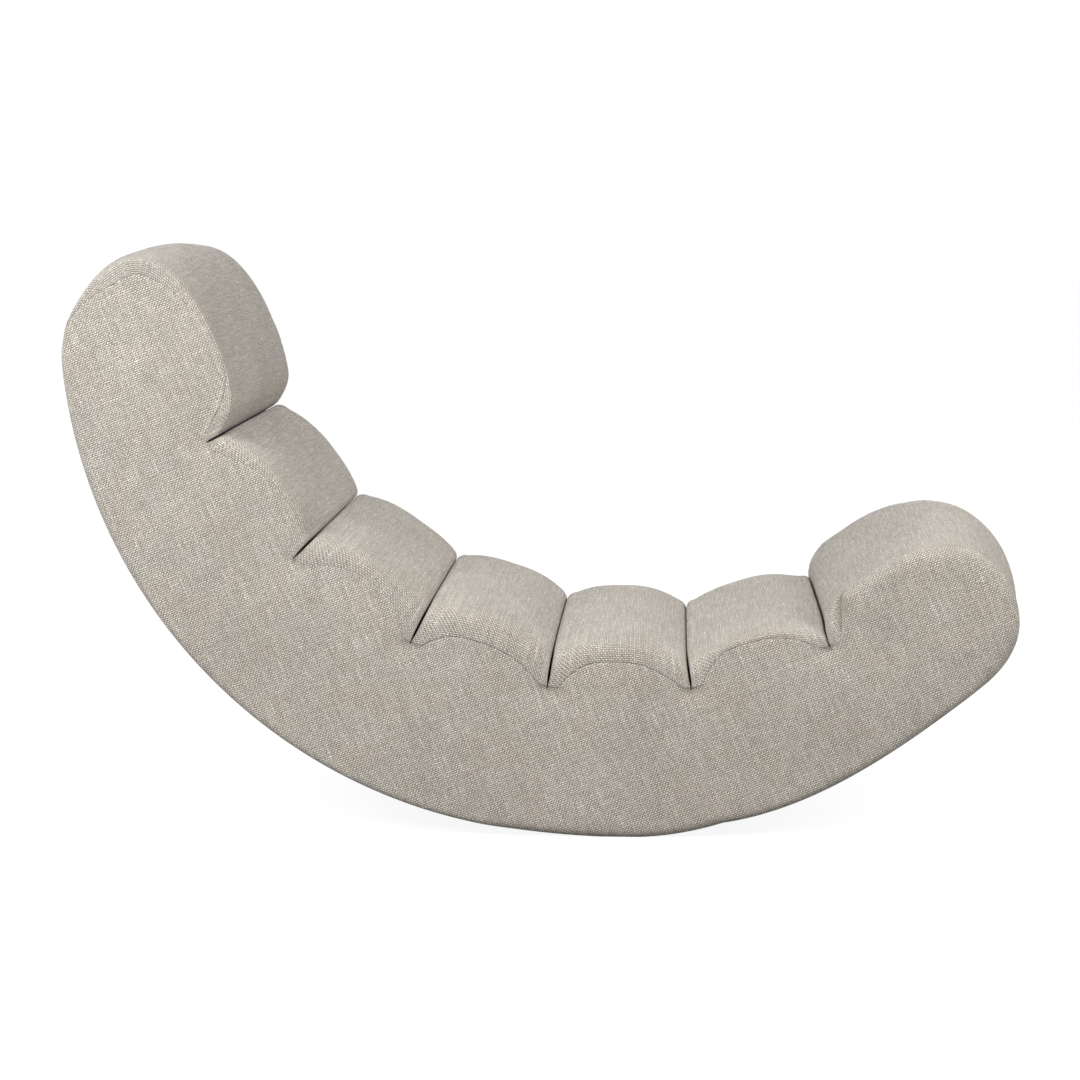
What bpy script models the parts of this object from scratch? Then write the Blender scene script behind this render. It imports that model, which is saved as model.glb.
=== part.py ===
# Rocking lounge chair: a curved slab with seven padded rolls on a bent rocker sole.
# Metres. +X runs from the head to the foot, +Y to the sitter's left, +Z up.
# The side view is drawn with the floor contact at zero, then centred along X.
import bpy
import bmesh
from collections import namedtuple
from math import acos, atan2, cos, pi, radians, sin
from mathutils import Vector
from mathutils.geometry import tessellate_polygon

# Overall sizes
WIDTH = 0.66
SEAT_HEIGHT = 0.2296
DECK_RADIUS = 0.709
DECK_SETBACK = 0.0106
HEAD_THICKNESS = 0.172
FOOT_THICKNESS = 0.1835

# Rolls, counted from the head: roll one is the head roll and roll seven the foot roll
ROLL_WIDTH = 0.2215
FIRST_SLIT_ARC = 0.776
HEAD_DECK_SHARE = 0.75
FOOT_DECK_SHARE = 0.667
ROLL_CROWNS = (0.075, 0.068, 0.086, 0.096, 0.089, 0.063, 0.060)
SEAM_CRESTS = (0.068, 0.044, 0.049, 0.040, 0.044, 0.038, 0.056)
SLIT_HEIGHTS = (0.033, 0.056, 0.072, 0.065, 0.050, 0.025)
CROWN_POWER = 2.4
EDGE_POWER = 4.5

# Ends of the slab
HEAD_FRONT_PULL = 0.320
HEAD_BACK_PULL = 0.120
HEAD_SEAM_DROP = 0.014
FOOT_TOP_PULL = 0.272
FOOT_END_PULL = 0.160
FOOT_SEAM_DROP = 0.001

# Underside
SOLE_BACK_RADIUS = 1.297
SOLE_BACK_SWEEP = radians(8.5)
SOLE_FRONT_RADIUS = 0.470
SOLE_FRONT_SWEEP = radians(18.5)
FRONT_RISE = radians(9.3)
FOOT_RISE = radians(38.6)
UNDER_SEAM_DROP = 0.010
UNDER_EDGE_POWER = 16.0
REST_CUT = 0.0005
REST_SPARE = 0.00002

# Layers
FABRIC = 0.002
FOAM_BASE = 0.020
WEBBING_THICKNESS = 0.003
UNDER_PAD = 0.017
BOARD_THICKNESS = 0.005
SIDE_PAD = 0.020
FRAME_PLY = 0.018
PULL_STRIP = 0.0015

# Frame parts
RAIL_WIDTH = 0.040
RAIL_THICKNESS = 0.022
FRONT_RAIL_SHARE = 0.2
BACK_RAIL_SHARE = 0.8
LOWER_BACK_RAIL_SHARE = 0.4
TENON_SHOULDER = 0.005
END_BOARD_THICKNESS = 0.018
END_BOARD_MARGIN = 0.012
WEIGHT_WIDTH = 0.100
WEIGHT_THICKNESS = 0.060
WEIGHT_SHARE = 0.35

# Bolts of the counterweight
BOLT_LENGTH = 0.060
BOLT_RADIUS = 0.004
BOLT_HEAD_RADIUS = 0.0075
BOLT_HEAD_DEPTH = 0.004
BOLT_SIDES = 8

# Clearances
GAP = 0.0003
RAIL_CLEARANCE = 0.0008

# Counts
ROLL_STEPS = 8
CAP_STEPS = 9
HEAD_DECK_STEPS = 6
FOOT_DECK_STEPS = 5
FRONT_STEPS = 7
SOLE_FRONT_STEPS = 5
SOLE_BACK_STEPS = 4
BACK_STEPS = 12
SHOULDER_STEPS = 4
STRAP_STEPS = 2
LIFT_STEPS = 10

# Drawing limits
MITRE_LIMIT = 0.4
SMOOTH_ANGLE = radians(30)

ROLLS = len(ROLL_CROWNS)
HEAD_STATION = 1 - HEAD_DECK_SHARE
FOOT_STATION = ROLLS - 1 + FOOT_DECK_SHARE
FRAME_DROP = FOAM_BASE + GAP + WEBBING_THICKNESS + GAP
SKIN = FABRIC + GAP
BOARD_INSET = SKIN + UNDER_PAD + GAP
FRAME_INSET = BOARD_INSET + BOARD_THICKNESS + GAP
INNER_HALF = WIDTH / 2 - SKIN
FRAME_OUTER = INNER_HALF - SIDE_PAD - GAP
FRAME_INNER = FRAME_OUTER - FRAME_PLY


# A stretch of the outline: crown points at mid width, seam points at the sides, headings,
# and how square the shoulders are
Patch = namedtuple("Patch", "crowns seams headings powers")


# Curves of the side view, as points (x, z)

def point(x, z):
    return Vector((x, z))


def shoulder_stations(power):
    # Depth and fullness across the width: a superellipse, full in the middle and drawn in at the seams
    stations = []
    for step in range(-SHOULDER_STEPS, SHOULDER_STEPS + 1):
        angle = pi / 2 * (1 - abs(step) / SHOULDER_STEPS)
        side = -1 if step < 0 else 1
        depth = 0.0 if step == 0 else side * cos(angle) ** (2 / power)
        stations.append((depth, sin(angle) ** (2 / power)))
    return stations


def station_angle(station):
    return (-FIRST_SLIT_ARC + (station - 1) * ROLL_WIDTH) / DECK_RADIUS


def deck_point(station, height):
    angle = station_angle(station)
    radius = DECK_RADIUS - height
    return point(-DECK_SETBACK + radius * sin(angle), SEAT_HEIGHT + DECK_RADIUS - radius * cos(angle))


def deck_heading(station):
    angle = station_angle(station)
    return point(cos(angle), sin(angle))


def inward(heading):
    # Every outline runs clockwise, so the inside lies to the right of its heading
    return point(heading.y, -heading.x)


def bezier(start, start_pull, end_pull, end, steps):
    points = []
    for step in range(steps + 1):
        t = step / steps
        u = 1 - t
        points.append(u ** 3 * start + 3 * u * u * t * (start + start_pull)
                      + 3 * u * t * t * (end + end_pull) + t ** 3 * end)
    return points


def headings_along(points, first=None, last=None):
    # Direction of a curve at each of its points, stated at the ends where curves meet
    headings = []
    for index in range(len(points)):
        before = points[max(index - 1, 0)]
        after = points[min(index + 1, len(points) - 1)]
        headings.append((after - before).normalized())
    headings[0] = first or headings[0]
    headings[-1] = last or headings[-1]
    return headings


def inset(points, headings, distance):
    # Move each point inwards, square to the curve
    return [here + inward(heading) * distance for here, heading in zip(points, headings)]


def trim(points, distance):
    # Shorten a curve a little at both ends
    trimmed = list(points)
    trimmed[0] = points[0] + (points[1] - points[0]).normalized() * distance
    trimmed[-1] = points[-1] + (points[-2] - points[-1]).normalized() * distance
    return trimmed


def swell(share, crest, left, right):
    edge = left if share < 0.5 else right
    return crest - (crest - edge) * abs(2 * share - 1) ** CROWN_POWER


def roll_heights(roll, share):
    # Crown and seam height of one roll, at a share of its width
    left = SLIT_HEIGHTS[roll - 2] if roll > 1 else 0.0
    right = SLIT_HEIGHTS[roll - 1] if roll < ROLLS else 0.0
    crown = swell(share, ROLL_CROWNS[roll - 1], left, right)
    seam = swell(share, SEAM_CRESTS[roll - 1], 0.0, 0.0)
    return crown, seam


def roll_arc(roll, first, last, steps):
    # Crown and seam points of a stretch of one roll
    crowns = []
    seams = []
    for step in range(steps + 1):
        share = first + (last - first) * step / steps
        crown, seam = roll_heights(roll, share)
        crowns.append(deck_point(roll - 1 + share, crown))
        seams.append(deck_point(roll - 1 + share, seam))
    return Patch(crowns, seams, headings_along(crowns), [EDGE_POWER] * len(crowns))


def head_end():
    return deck_point(HEAD_STATION, -HEAD_THICKNESS)


def foot_end():
    return deck_point(FOOT_STATION, -FOOT_THICKNESS)


def sloping(angle):
    # Heading of an underside that rises towards the foot, followed from foot to head
    return point(-cos(angle), -sin(angle))


def back_circle():
    # Touches the end of the sole and runs through the top of the back
    start = point(-sin(SOLE_BACK_SWEEP), 1 - cos(SOLE_BACK_SWEEP)) * SOLE_BACK_RADIUS
    chord = head_end() - start
    normal = inward(sloping(-SOLE_BACK_SWEEP))
    radius = chord.length_squared / (2 * chord.dot(normal))
    return start + normal * radius, radius


def back_top_heading():
    centre, _ = back_circle()
    out = (head_end() - centre).normalized()
    return point(out.y, -out.x)


def back_patch():
    centre, radius = back_circle()
    top = head_end() - centre
    top_angle = atan2(-top.x, -top.y)
    points = []
    for step in range(BACK_STEPS + 1):
        angle = SOLE_BACK_SWEEP + (top_angle - SOLE_BACK_SWEEP) * step / BACK_STEPS
        points.append(centre - point(sin(angle), cos(angle)) * radius)
    return under_patch(points, sloping(-SOLE_BACK_SWEEP), back_top_heading())


def rest_angle(radius):
    # Turn of the sole at which the floor cuts it, seen where the shoulders begin
    _, fullness = shoulder_stations(UNDER_EDGE_POWER)[SHOULDER_STEPS + 1]
    rise = max(REST_CUT - UNDER_SEAM_DROP * (1 - fullness), 2 * REST_SPARE) - REST_SPARE
    return acos(1 - rise / radius)


def sole_patch():
    points = []
    rest = rest_angle(SOLE_FRONT_RADIUS)
    for step in range(SOLE_FRONT_STEPS + 1):
        angle = SOLE_FRONT_SWEEP + (rest - SOLE_FRONT_SWEEP) * step / SOLE_FRONT_STEPS
        points.append(point(sin(angle), 1 - cos(angle)) * SOLE_FRONT_RADIUS)
    rest = rest_angle(SOLE_BACK_RADIUS)
    for step in range(SOLE_BACK_STEPS + 1):
        angle = rest + (SOLE_BACK_SWEEP - rest) * step / SOLE_BACK_STEPS
        points.append(point(-sin(angle), 1 - cos(angle)) * SOLE_BACK_RADIUS)
    return under_patch(points, sloping(SOLE_FRONT_SWEEP), sloping(-SOLE_BACK_SWEEP))


def front_patch():
    start = foot_end()
    end = point(sin(SOLE_FRONT_SWEEP), 1 - cos(SOLE_FRONT_SWEEP)) * SOLE_FRONT_RADIUS
    reach = (end - start).length / 3
    points = bezier(start, sloping(FOOT_RISE) * reach, -sloping(FRONT_RISE) * reach, end, FRONT_STEPS)
    return under_patch(points, sloping(FOOT_RISE), sloping(FRONT_RISE))


def under_patch(crowns, first, last):
    headings = headings_along(crowns, first, last)
    powers = [UNDER_EDGE_POWER] * len(crowns)
    return Patch(crowns, inset(crowns, headings, UNDER_SEAM_DROP), headings, powers)


def cap_seam(cap, headings, first, last, swelling):
    # Seam round an end of the slab, at a changing distance from the crown
    seams = []
    for index, (here, heading) in enumerate(zip(cap, headings)):
        t = index / (len(cap) - 1)
        drop = first + (last - first) * t + swelling * 4 * t * (1 - t)
        seams.append(here + inward(heading) * drop)
    return seams


def cap_powers(first, last):
    return [first + (last - first) * step / CAP_STEPS for step in range(CAP_STEPS + 1)]


def head_patch():
    crest = deck_point(0.5, ROLL_CROWNS[0])
    cap = bezier(head_end(), back_top_heading() * HEAD_BACK_PULL, deck_heading(0.5) * -HEAD_FRONT_PULL,
                 crest, CAP_STEPS)
    headings = headings_along(cap, back_top_heading(), deck_heading(0.5))
    seams = cap_seam(cap, headings, UNDER_SEAM_DROP, ROLL_CROWNS[0] - SEAM_CRESTS[0], HEAD_SEAM_DROP)
    front = roll_arc(1, 0.5, 1.0, ROLL_STEPS // 2)
    powers = cap_powers(UNDER_EDGE_POWER, EDGE_POWER)
    return Patch(cap[:-1] + front.crowns, seams[:-1] + front.seams, headings[:-1] + front.headings,
                 powers[:-1] + front.powers)


def foot_patch():
    middle = ROLLS - 0.5
    crest = deck_point(middle, ROLL_CROWNS[-1])
    cap = bezier(crest, deck_heading(middle) * FOOT_TOP_PULL, -sloping(FOOT_RISE) * FOOT_END_PULL,
                 foot_end(), CAP_STEPS)
    headings = headings_along(cap, deck_heading(middle), sloping(FOOT_RISE))
    seams = cap_seam(cap, headings, ROLL_CROWNS[-1] - SEAM_CRESTS[-1], UNDER_SEAM_DROP, FOOT_SEAM_DROP)
    rear = roll_arc(ROLLS, 0.0, 0.5, ROLL_STEPS // 2)
    powers = cap_powers(EDGE_POWER, UNDER_EDGE_POWER)
    return Patch(rear.crowns + cap[1:], rear.seams + seams[1:], rear.headings + headings[1:],
                 rear.powers + powers[1:])


def roll_patch(roll):
    if roll == 1:
        return head_patch()
    if roll == ROLLS:
        return foot_patch()
    return roll_arc(roll, 0.0, 1.0, ROLL_STEPS)


def deck_stations(roll):
    # Places along the deck where the base of a roll has its points
    if roll == 1:
        return [1 - HEAD_DECK_SHARE * (1 - step / HEAD_DECK_STEPS) for step in range(HEAD_DECK_STEPS + 1)]
    if roll == ROLLS:
        return [roll - 1 + FOOT_DECK_SHARE * step / FOOT_DECK_STEPS for step in range(FOOT_DECK_STEPS + 1)]
    return [roll - 1 + step / ROLL_STEPS for step in range(ROLL_STEPS + 1)]


PATCHES = {roll: roll_patch(roll) for roll in range(1, ROLLS + 1)}
FRONT = front_patch()
SOLE = sole_patch()
BACK = back_patch()
EVERY_CROWN = [here for patch in [*PATCHES.values(), FRONT, SOLE, BACK] for here in patch.crowns]
CENTRE_X = (min(p.x for p in EVERY_CROWN) + max(p.x for p in EVERY_CROWN)) / 2


# Mesh helpers

def place(flat, y):
    # Side-view point to the chair's frame, with nothing below the floor
    return Vector((flat.x - CENTRE_X, y, max(flat.y - REST_CUT, 0.0)))


def rows_of(columns):
    # Turn columns across the width into rows along the side view
    return [list(row) for row in zip(*columns)]


def crowned_grid(crowns, seams, powers, half_width):
    columns = []
    for crown, seam, power in zip(crowns, seams, powers):
        columns.append([place(seam.lerp(crown, fullness), depth * half_width)
                        for depth, fullness in shoulder_stations(power)])
    return rows_of(columns)


def straight_grid(points, powers, half_width):
    columns = []
    for flat, power in zip(points, powers):
        columns.append([place(flat, depth * half_width) for depth, _ in shoulder_stations(power)])
    return rows_of(columns)


def plain_grid(points, low, high):
    return [[place(flat, low) for flat in points], [place(flat, high) for flat in points]]


def add_slab(mesh, outer, inner):
    # A closed body between two grids of the same size
    def skin(grid):
        return [[mesh.verts.new(corner) for corner in row] for row in grid]

    def quad(a, b, c, d):
        mesh.faces.new((a, b, c))
        mesh.faces.new((a, c, d))

    top = skin(outer)
    base = skin(inner)
    rows = len(top) - 1
    columns = len(top[0]) - 1
    for row in range(rows):
        for column in range(columns):
            quad(top[row][column], top[row + 1][column], top[row + 1][column + 1], top[row][column + 1])
            quad(base[row][column], base[row + 1][column], base[row + 1][column + 1], base[row][column + 1])
    for row in range(rows):
        for column in (0, columns):
            quad(top[row][column], top[row + 1][column], base[row + 1][column], base[row][column])
    for column in range(columns):
        for row in (0, rows):
            quad(top[row][column], top[row][column + 1], base[row][column + 1], base[row][column])


def finish(name, mesh, material):
    bmesh.ops.recalc_face_normals(mesh, faces=mesh.faces)
    data = bpy.data.meshes.new(name)
    mesh.to_mesh(data)
    mesh.free()
    data.shade_smooth()
    data.set_sharp_from_angle(angle=SMOOTH_ANGLE)
    data.materials.append(material)
    piece = bpy.data.objects.new(name, data)
    bpy.context.scene.collection.objects.link(piece)
    return piece


def slab(name, outer, inner, material):
    mesh = bmesh.new()
    add_slab(mesh, outer, inner)
    return finish(name, mesh, material)


def circle(centre, radius):
    points = []
    for side in range(BOLT_SIDES):
        angle = 2 * pi * side / BOLT_SIDES
        points.append(centre + point(cos(angle), sin(angle)) * radius)
    return points


def rectangle(centre, heading, width, thickness):
    across = inward(heading)
    corners = ((-1, -1), (1, -1), (1, 1), (-1, 1))
    return [centre + heading * along * width / 2 + across * deep * thickness / 2 for along, deep in corners]


def ring(mesh, points, y):
    return [mesh.verts.new(place(flat, y)) for flat in points]


def bridge(mesh, first, second):
    count = len(first)
    for index in range(count):
        after = (index + 1) % count
        mesh.faces.new((first[index], first[after], second[after], second[index]))


def holed_face(mesh, border, rings):
    loops = [border] + rings
    corners = [vert for loop in loops for vert in loop]
    flat = [[Vector((vert.co.x, vert.co.z, 0.0)) for vert in loop] for loop in loops]
    for triangle in tessellate_polygon(flat):
        mesh.faces.new([corners[index] for index in triangle])


def plate(name, outline, inner_y, outer_y, holes, material):
    # A flat board; each hole is a list of loops with their depth below the outer face
    mesh = bmesh.new()
    outward = 1 if outer_y > inner_y else -1
    borders = [ring(mesh, outline, y) for y in (outer_y, inner_y)]
    bridge(mesh, borders[0], borders[1])
    mouths = ([], [])
    for hole in holes:
        rings = [ring(mesh, loop, outer_y - outward * depth) for loop, depth in hole]
        for upper, lower in zip(rings, rings[1:]):
            bridge(mesh, upper, lower)
        mouths[0].append(rings[0])
        mouths[1].append(rings[-1])
    for border, rings in zip(borders, mouths):
        holed_face(mesh, border, rings)
    return finish(name, mesh, material)


def rail(name, centre, heading, width, thickness, material):
    # A cross rail with a tenon at each end; returns the mortise that takes it
    tenon = (width - 2 * TENON_SHOULDER, thickness - 2 * TENON_SHOULDER)
    mesh = bmesh.new()
    bodies = []
    for side in (-1, 1):
        body = ring(mesh, rectangle(centre, heading, width, thickness), side * (FRAME_INNER - GAP))
        neck = ring(mesh, rectangle(centre, heading, *tenon), side * (FRAME_INNER - GAP))
        tip = ring(mesh, rectangle(centre, heading, *tenon), side * FRAME_OUTER)
        bridge(mesh, body, neck)
        bridge(mesh, neck, tip)
        mesh.faces.new(tip)
        bodies.append(body)
    bridge(mesh, bodies[0], bodies[1])
    finish(name, mesh, material)
    mortise = rectangle(centre, heading, tenon[0] + 2 * GAP, tenon[1] + 2 * GAP)
    return [(mortise, 0.0), (mortise, FRAME_PLY)]


def bolt_hole(centre):
    return [(circle(centre, BOLT_HEAD_RADIUS + GAP), 0.0),
            (circle(centre, BOLT_RADIUS + GAP), BOLT_HEAD_DEPTH + GAP),
            (circle(centre, BOLT_RADIUS + GAP), FRAME_PLY)]


def drilled_bar(name, centre, heading, width, thickness, material):
    # A bar butted between the side frames, drilled at both ends; returns its bolt places
    places = [centre + heading * side * width / 4 for side in (-1, 1)]
    reach = FRAME_INNER - GAP
    drill = BOLT_LENGTH - FRAME_PLY
    mesh = bmesh.new()
    borders = []
    for side in (-1, 1):
        border = ring(mesh, rectangle(centre, heading, width, thickness), side * reach)
        mouths = []
        for bolt in places:
            mouth = ring(mesh, circle(bolt, BOLT_RADIUS + GAP), side * reach)
            bottom = ring(mesh, circle(bolt, BOLT_RADIUS + GAP), side * (reach - drill))
            bridge(mesh, mouth, bottom)
            mesh.faces.new(bottom)
            mouths.append(mouth)
        holed_face(mesh, border, mouths)
        borders.append(border)
    bridge(mesh, borders[0], borders[1])
    finish(name, mesh, material)
    return places


def bolt(name, centre, side, material):
    mesh = bmesh.new()
    head = ring(mesh, circle(centre, BOLT_HEAD_RADIUS), side * FRAME_OUTER)
    neck = ring(mesh, circle(centre, BOLT_RADIUS), side * (FRAME_OUTER - BOLT_HEAD_DEPTH))
    tip = ring(mesh, circle(centre, BOLT_RADIUS), side * (FRAME_OUTER - BOLT_LENGTH))
    bridge(mesh, head, neck)
    bridge(mesh, neck, tip)
    mesh.faces.new(head)
    mesh.faces.new(tip)
    return finish(name, mesh, material)


def make_material(name, colour, roughness, metallic=0.0):
    material = bpy.data.materials.new(name)
    material.use_nodes = True
    shader = material.node_tree.nodes["Principled BSDF"]
    shader.inputs["Base Color"].default_value = (*colour, 1.0)
    shader.inputs["Roughness"].default_value = roughness
    shader.inputs["Metallic"].default_value = metallic
    return material


# Upholstery

def cover(name, patch, material):
    # Woven cover: a thin shell over the crown, open towards the frame
    crowns = trim(patch.crowns, GAP / 2)
    seams = trim(patch.seams, GAP / 2)
    outer = crowned_grid(crowns, seams, patch.powers, WIDTH / 2)
    inner = crowned_grid(inset(crowns, patch.headings, FABRIC), seams, patch.powers, WIDTH / 2 - FABRIC)
    return slab(name, outer, inner, material)


def under_pad(name, patch, material):
    crowns = trim(patch.crowns, GAP / 2)
    seams = trim(patch.seams, GAP / 2)
    outer = crowned_grid(inset(crowns, patch.headings, SKIN), seams, patch.powers, INNER_HALF)
    inner = straight_grid(inset(crowns, patch.headings, SKIN + UNDER_PAD), patch.powers, INNER_HALF)
    return slab(name, outer, inner, material)


def under_board(name, patch, material):
    crowns = trim(patch.crowns, GAP / 2)
    outer = plain_grid(inset(crowns, patch.headings, BOARD_INSET), -INNER_HALF, INNER_HALF)
    inner = plain_grid(inset(crowns, patch.headings, BOARD_INSET + BOARD_THICKNESS), -INNER_HALF, INNER_HALF)
    return slab(name, outer, inner, material)


def between(first, last, steps):
    return [first.lerp(last, step / steps) for step in range(steps + 1)]


def slot_shift(station):
    # Room beside a slit for half of its pull strip
    return deck_heading(station) * (PULL_STRIP / 2 + GAP)


def core_base(roll, patch):
    # Inner side of a foam core: the deck, and at the ends of the slab the end of the frame
    base = [deck_point(station, -FOAM_BASE) for station in deck_stations(roll)]
    spare = len(patch.crowns) - len(base)
    if roll == 1:
        heading = patch.headings[0]
        corner = patch.crowns[0] + inward(heading) * FRAME_INSET + heading * GAP
        base = between(corner, base[0] - deck_heading(HEAD_STATION) * GAP, spare) + base[1:]
    else:
        base[0] = base[0] + slot_shift(roll - 1)
    if roll == ROLLS:
        heading = patch.headings[-1]
        corner = patch.crowns[-1] + inward(heading) * FRAME_INSET - heading * GAP
        base = base[:-1] + between(base[-1] + deck_heading(FOOT_STATION) * GAP, corner, spare)
    else:
        base[-1] = base[-1] - slot_shift(roll)
    return base


def core(name, roll, patch, material):
    # Foam body of one roll, just inside its cover, with room for the pull strips beside it
    crowns = inset(patch.crowns, patch.headings, SKIN)
    seams = list(patch.seams)
    for points in (crowns, seams):
        whole = trim(points, GAP / 2)
        points[0] = points[0] + slot_shift(roll - 1) if roll > 1 else whole[0]
        points[-1] = points[-1] - slot_shift(roll) if roll < ROLLS else whole[-1]
    base = straight_grid(core_base(roll, patch), patch.powers, INNER_HALF)
    return slab(name, crowned_grid(crowns, seams, patch.powers, INNER_HALF), base, material)


def pull_strip(name, slit, material):
    # Strip sewn to the covers in a slit and tacked to the rail below
    half = deck_heading(slit) * PULL_STRIP / 2
    low = deck_point(slit, -FRAME_DROP + GAP)
    sides = []
    for offset in (-half, half):
        bottom = []
        top = []
        for depth, fullness in shoulder_stations(EDGE_POWER):
            height = SLIT_HEIGHTS[slit - 1] * fullness - SKIN - GAP
            bottom.append(place(low + offset, depth * INNER_HALF))
            top.append(place(deck_point(slit, height) + offset, depth * INNER_HALF))
        sides.append([bottom, top])
    return slab(name, sides[0], sides[1], material)


def webbing(name, roll, material):
    # One broad elastic strap under the middle of each roll, drawn over both side frames
    stations = deck_stations(roll)
    middle = len(stations) // 2
    strap = stations[middle - STRAP_STEPS:middle + STRAP_STEPS + 1]
    upper = [deck_point(station, -FOAM_BASE - GAP) for station in strap]
    lower = [deck_point(station, -FOAM_BASE - GAP - WEBBING_THICKNESS) for station in strap]
    return slab(name, plain_grid(upper, -FRAME_OUTER, FRAME_OUTER),
                plain_grid(lower, -FRAME_OUTER, FRAME_OUTER), material)


def frame_outline():
    # Side frame: the deck above, the boards of the underside below
    deck = []
    for roll in range(1, ROLLS + 1):
        stations = deck_stations(roll)
        deck += [deck_point(station, -FRAME_DROP) for station in stations[:-1]]
    deck.append(deck_point(FOOT_STATION, -FRAME_DROP))
    outline = trim(deck, GAP)
    for patch in (FRONT, SOLE, BACK):
        outline += inset(trim(patch.crowns, GAP), patch.headings, FRAME_INSET)
    return outline


def panel_outline():
    # Side cover: scalloped along the rolls and plain along the underside
    outline = []
    for patch in [*PATCHES.values(), FRONT, SOLE, BACK]:
        outline += patch.seams[:-1]
    return inset_loop(outline, GAP)


def inset_loop(points, distance):
    count = len(points)
    moved = []
    for index, here in enumerate(points):
        ahead = (points[(index + 1) % count] - here).normalized()
        behind = (here - points[index - 1]).normalized()
        normal = inward(ahead + behind).normalized()
        stretch = 1 / max(normal.dot(inward(ahead)), MITRE_LIMIT)
        moved.append(here + normal * distance * stretch)
    return moved


# Frame

def base_place(patch, share, width, thickness):
    # Middle and heading of a rail or bar that lies on the boards, lifted clear of their curve
    floor = inset(patch.crowns, patch.headings, FRAME_INSET + RAIL_CLEARANCE)
    index = min(round(share * (len(floor) - 1)), len(floor) - 2)
    middle = (floor[index] + floor[index + 1]) / 2
    heading = (floor[index + 1] - floor[index]).normalized()
    side = inward(heading)
    spots = [spot for near, far in zip(floor, floor[1:]) for spot in between(near, far, LIFT_STEPS)]
    lift = max(side.dot(spot - middle) for spot in spots if abs(heading.dot(spot - middle)) <= width / 2)
    return middle + side * (lift + thickness / 2), heading


def end_board_place(above, below, outline):
    # Middle, heading and width of the board that closes an end of the frame, set back inside it
    run = below - above
    heading = run.normalized()
    side = inward(heading)
    middle = (above + below) / 2
    centre = sum(outline, point(0.0, 0.0)) / len(outline)
    if side.dot(centre - middle) < 0:
        side = -side
    return middle + side * (END_BOARD_THICKNESS / 2 + GAP), heading, run.length - 2 * END_BOARD_MARGIN


def build_frame(plywood, pine, steel, zinc):
    holes = []
    drop = FRAME_DROP + RAIL_THICKNESS / 2
    for slit in range(1, ROLLS):
        holes.append(rail(f"slit_rail_{slit}", deck_point(slit, -drop), deck_heading(slit),
                          RAIL_WIDTH, RAIL_THICKNESS, pine))
    outline = frame_outline()
    under_count = len(FRONT.crowns) + len(SOLE.crowns) + len(BACK.crowns)
    foot_corner = len(outline) - under_count
    for name, above, below in (("head_board", outline[0], outline[-1]),
                               ("foot_board", outline[foot_corner - 1], outline[foot_corner])):
        middle, heading, width = end_board_place(above, below, outline)
        holes.append(rail(name, middle, heading, width, END_BOARD_THICKNESS, pine))
    for name, patch, share in (("front_base_rail", SOLE, FRONT_RAIL_SHARE),
                               ("back_base_rail", SOLE, BACK_RAIL_SHARE),
                               ("lower_back_rail", BACK, LOWER_BACK_RAIL_SHARE)):
        middle, heading = base_place(patch, share, RAIL_WIDTH, RAIL_THICKNESS)
        holes.append(rail(name, middle, heading, RAIL_WIDTH, RAIL_THICKNESS, pine))
    middle, heading = base_place(FRONT, WEIGHT_SHARE, WEIGHT_WIDTH, WEIGHT_THICKNESS)
    bolts = drilled_bar("counterweight_bar", middle, heading, WEIGHT_WIDTH, WEIGHT_THICKNESS, steel)
    holes += [bolt_hole(centre) for centre in bolts]
    for side, label in ((-1, "right"), (1, "left")):
        plate(f"side_frame_{label}", outline, side * FRAME_INNER, side * FRAME_OUTER, holes, plywood)
        for number, centre in enumerate(bolts, 1):
            bolt(f"weight_bolt_{label}_{number}", centre, side, zinc)
    return outline


def build():
    for old in list(bpy.data.objects):
        bpy.data.objects.remove(old, do_unlink=True)
    linen = make_material("oatmeal_linen", (0.43, 0.39, 0.34), 0.95)
    foam = make_material("foam", (0.80, 0.74, 0.52), 0.95)
    plywood = make_material("plywood", (0.62, 0.47, 0.30), 0.70)
    pine = make_material("pine", (0.72, 0.55, 0.34), 0.70)
    strap = make_material("webbing", (0.06, 0.06, 0.06), 0.85)
    steel = make_material("dark_steel", (0.16, 0.16, 0.17), 0.45, 1.0)
    zinc = make_material("zinc_plate", (0.62, 0.62, 0.60), 0.35, 1.0)

    outline = build_frame(plywood, pine, steel, zinc)
    for label, patch in (("front", FRONT), ("sole", SOLE), ("back", BACK)):
        under_board(f"{label}_board", patch, plywood)
        under_pad(f"{label}_pad", patch, foam)
        cover(f"{label}_cover", patch, linen)
    for roll, patch in PATCHES.items():
        label = {1: "head", ROLLS: "foot"}.get(roll, f"roll_{roll}")
        webbing(f"webbing_{roll}", roll, strap)
        core(f"{label}_core", roll, patch, foam)
        cover(f"{label}_roll_cover" if roll in (1, ROLLS) else f"{label}_cover", patch, linen)
    for slit in range(1, ROLLS):
        pull_strip(f"pull_strip_{slit}", slit, linen)
    for side, name in ((-1, "right"), (1, "left")):
        plate(f"side_pad_{name}", outline, side * (FRAME_OUTER + GAP), side * INNER_HALF, [], foam)
        plate(f"side_panel_{name}", panel_outline(), side * (WIDTH / 2 - FABRIC), side * WIDTH / 2, [], linen)


build()
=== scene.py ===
from collections import namedtuple
from math import pi, radians

import bmesh
import bpy
import numpy as np
from mathutils import Matrix, Vector
from mathutils.geometry import delaunay_2d_cdt, tessellate_polygon


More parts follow.
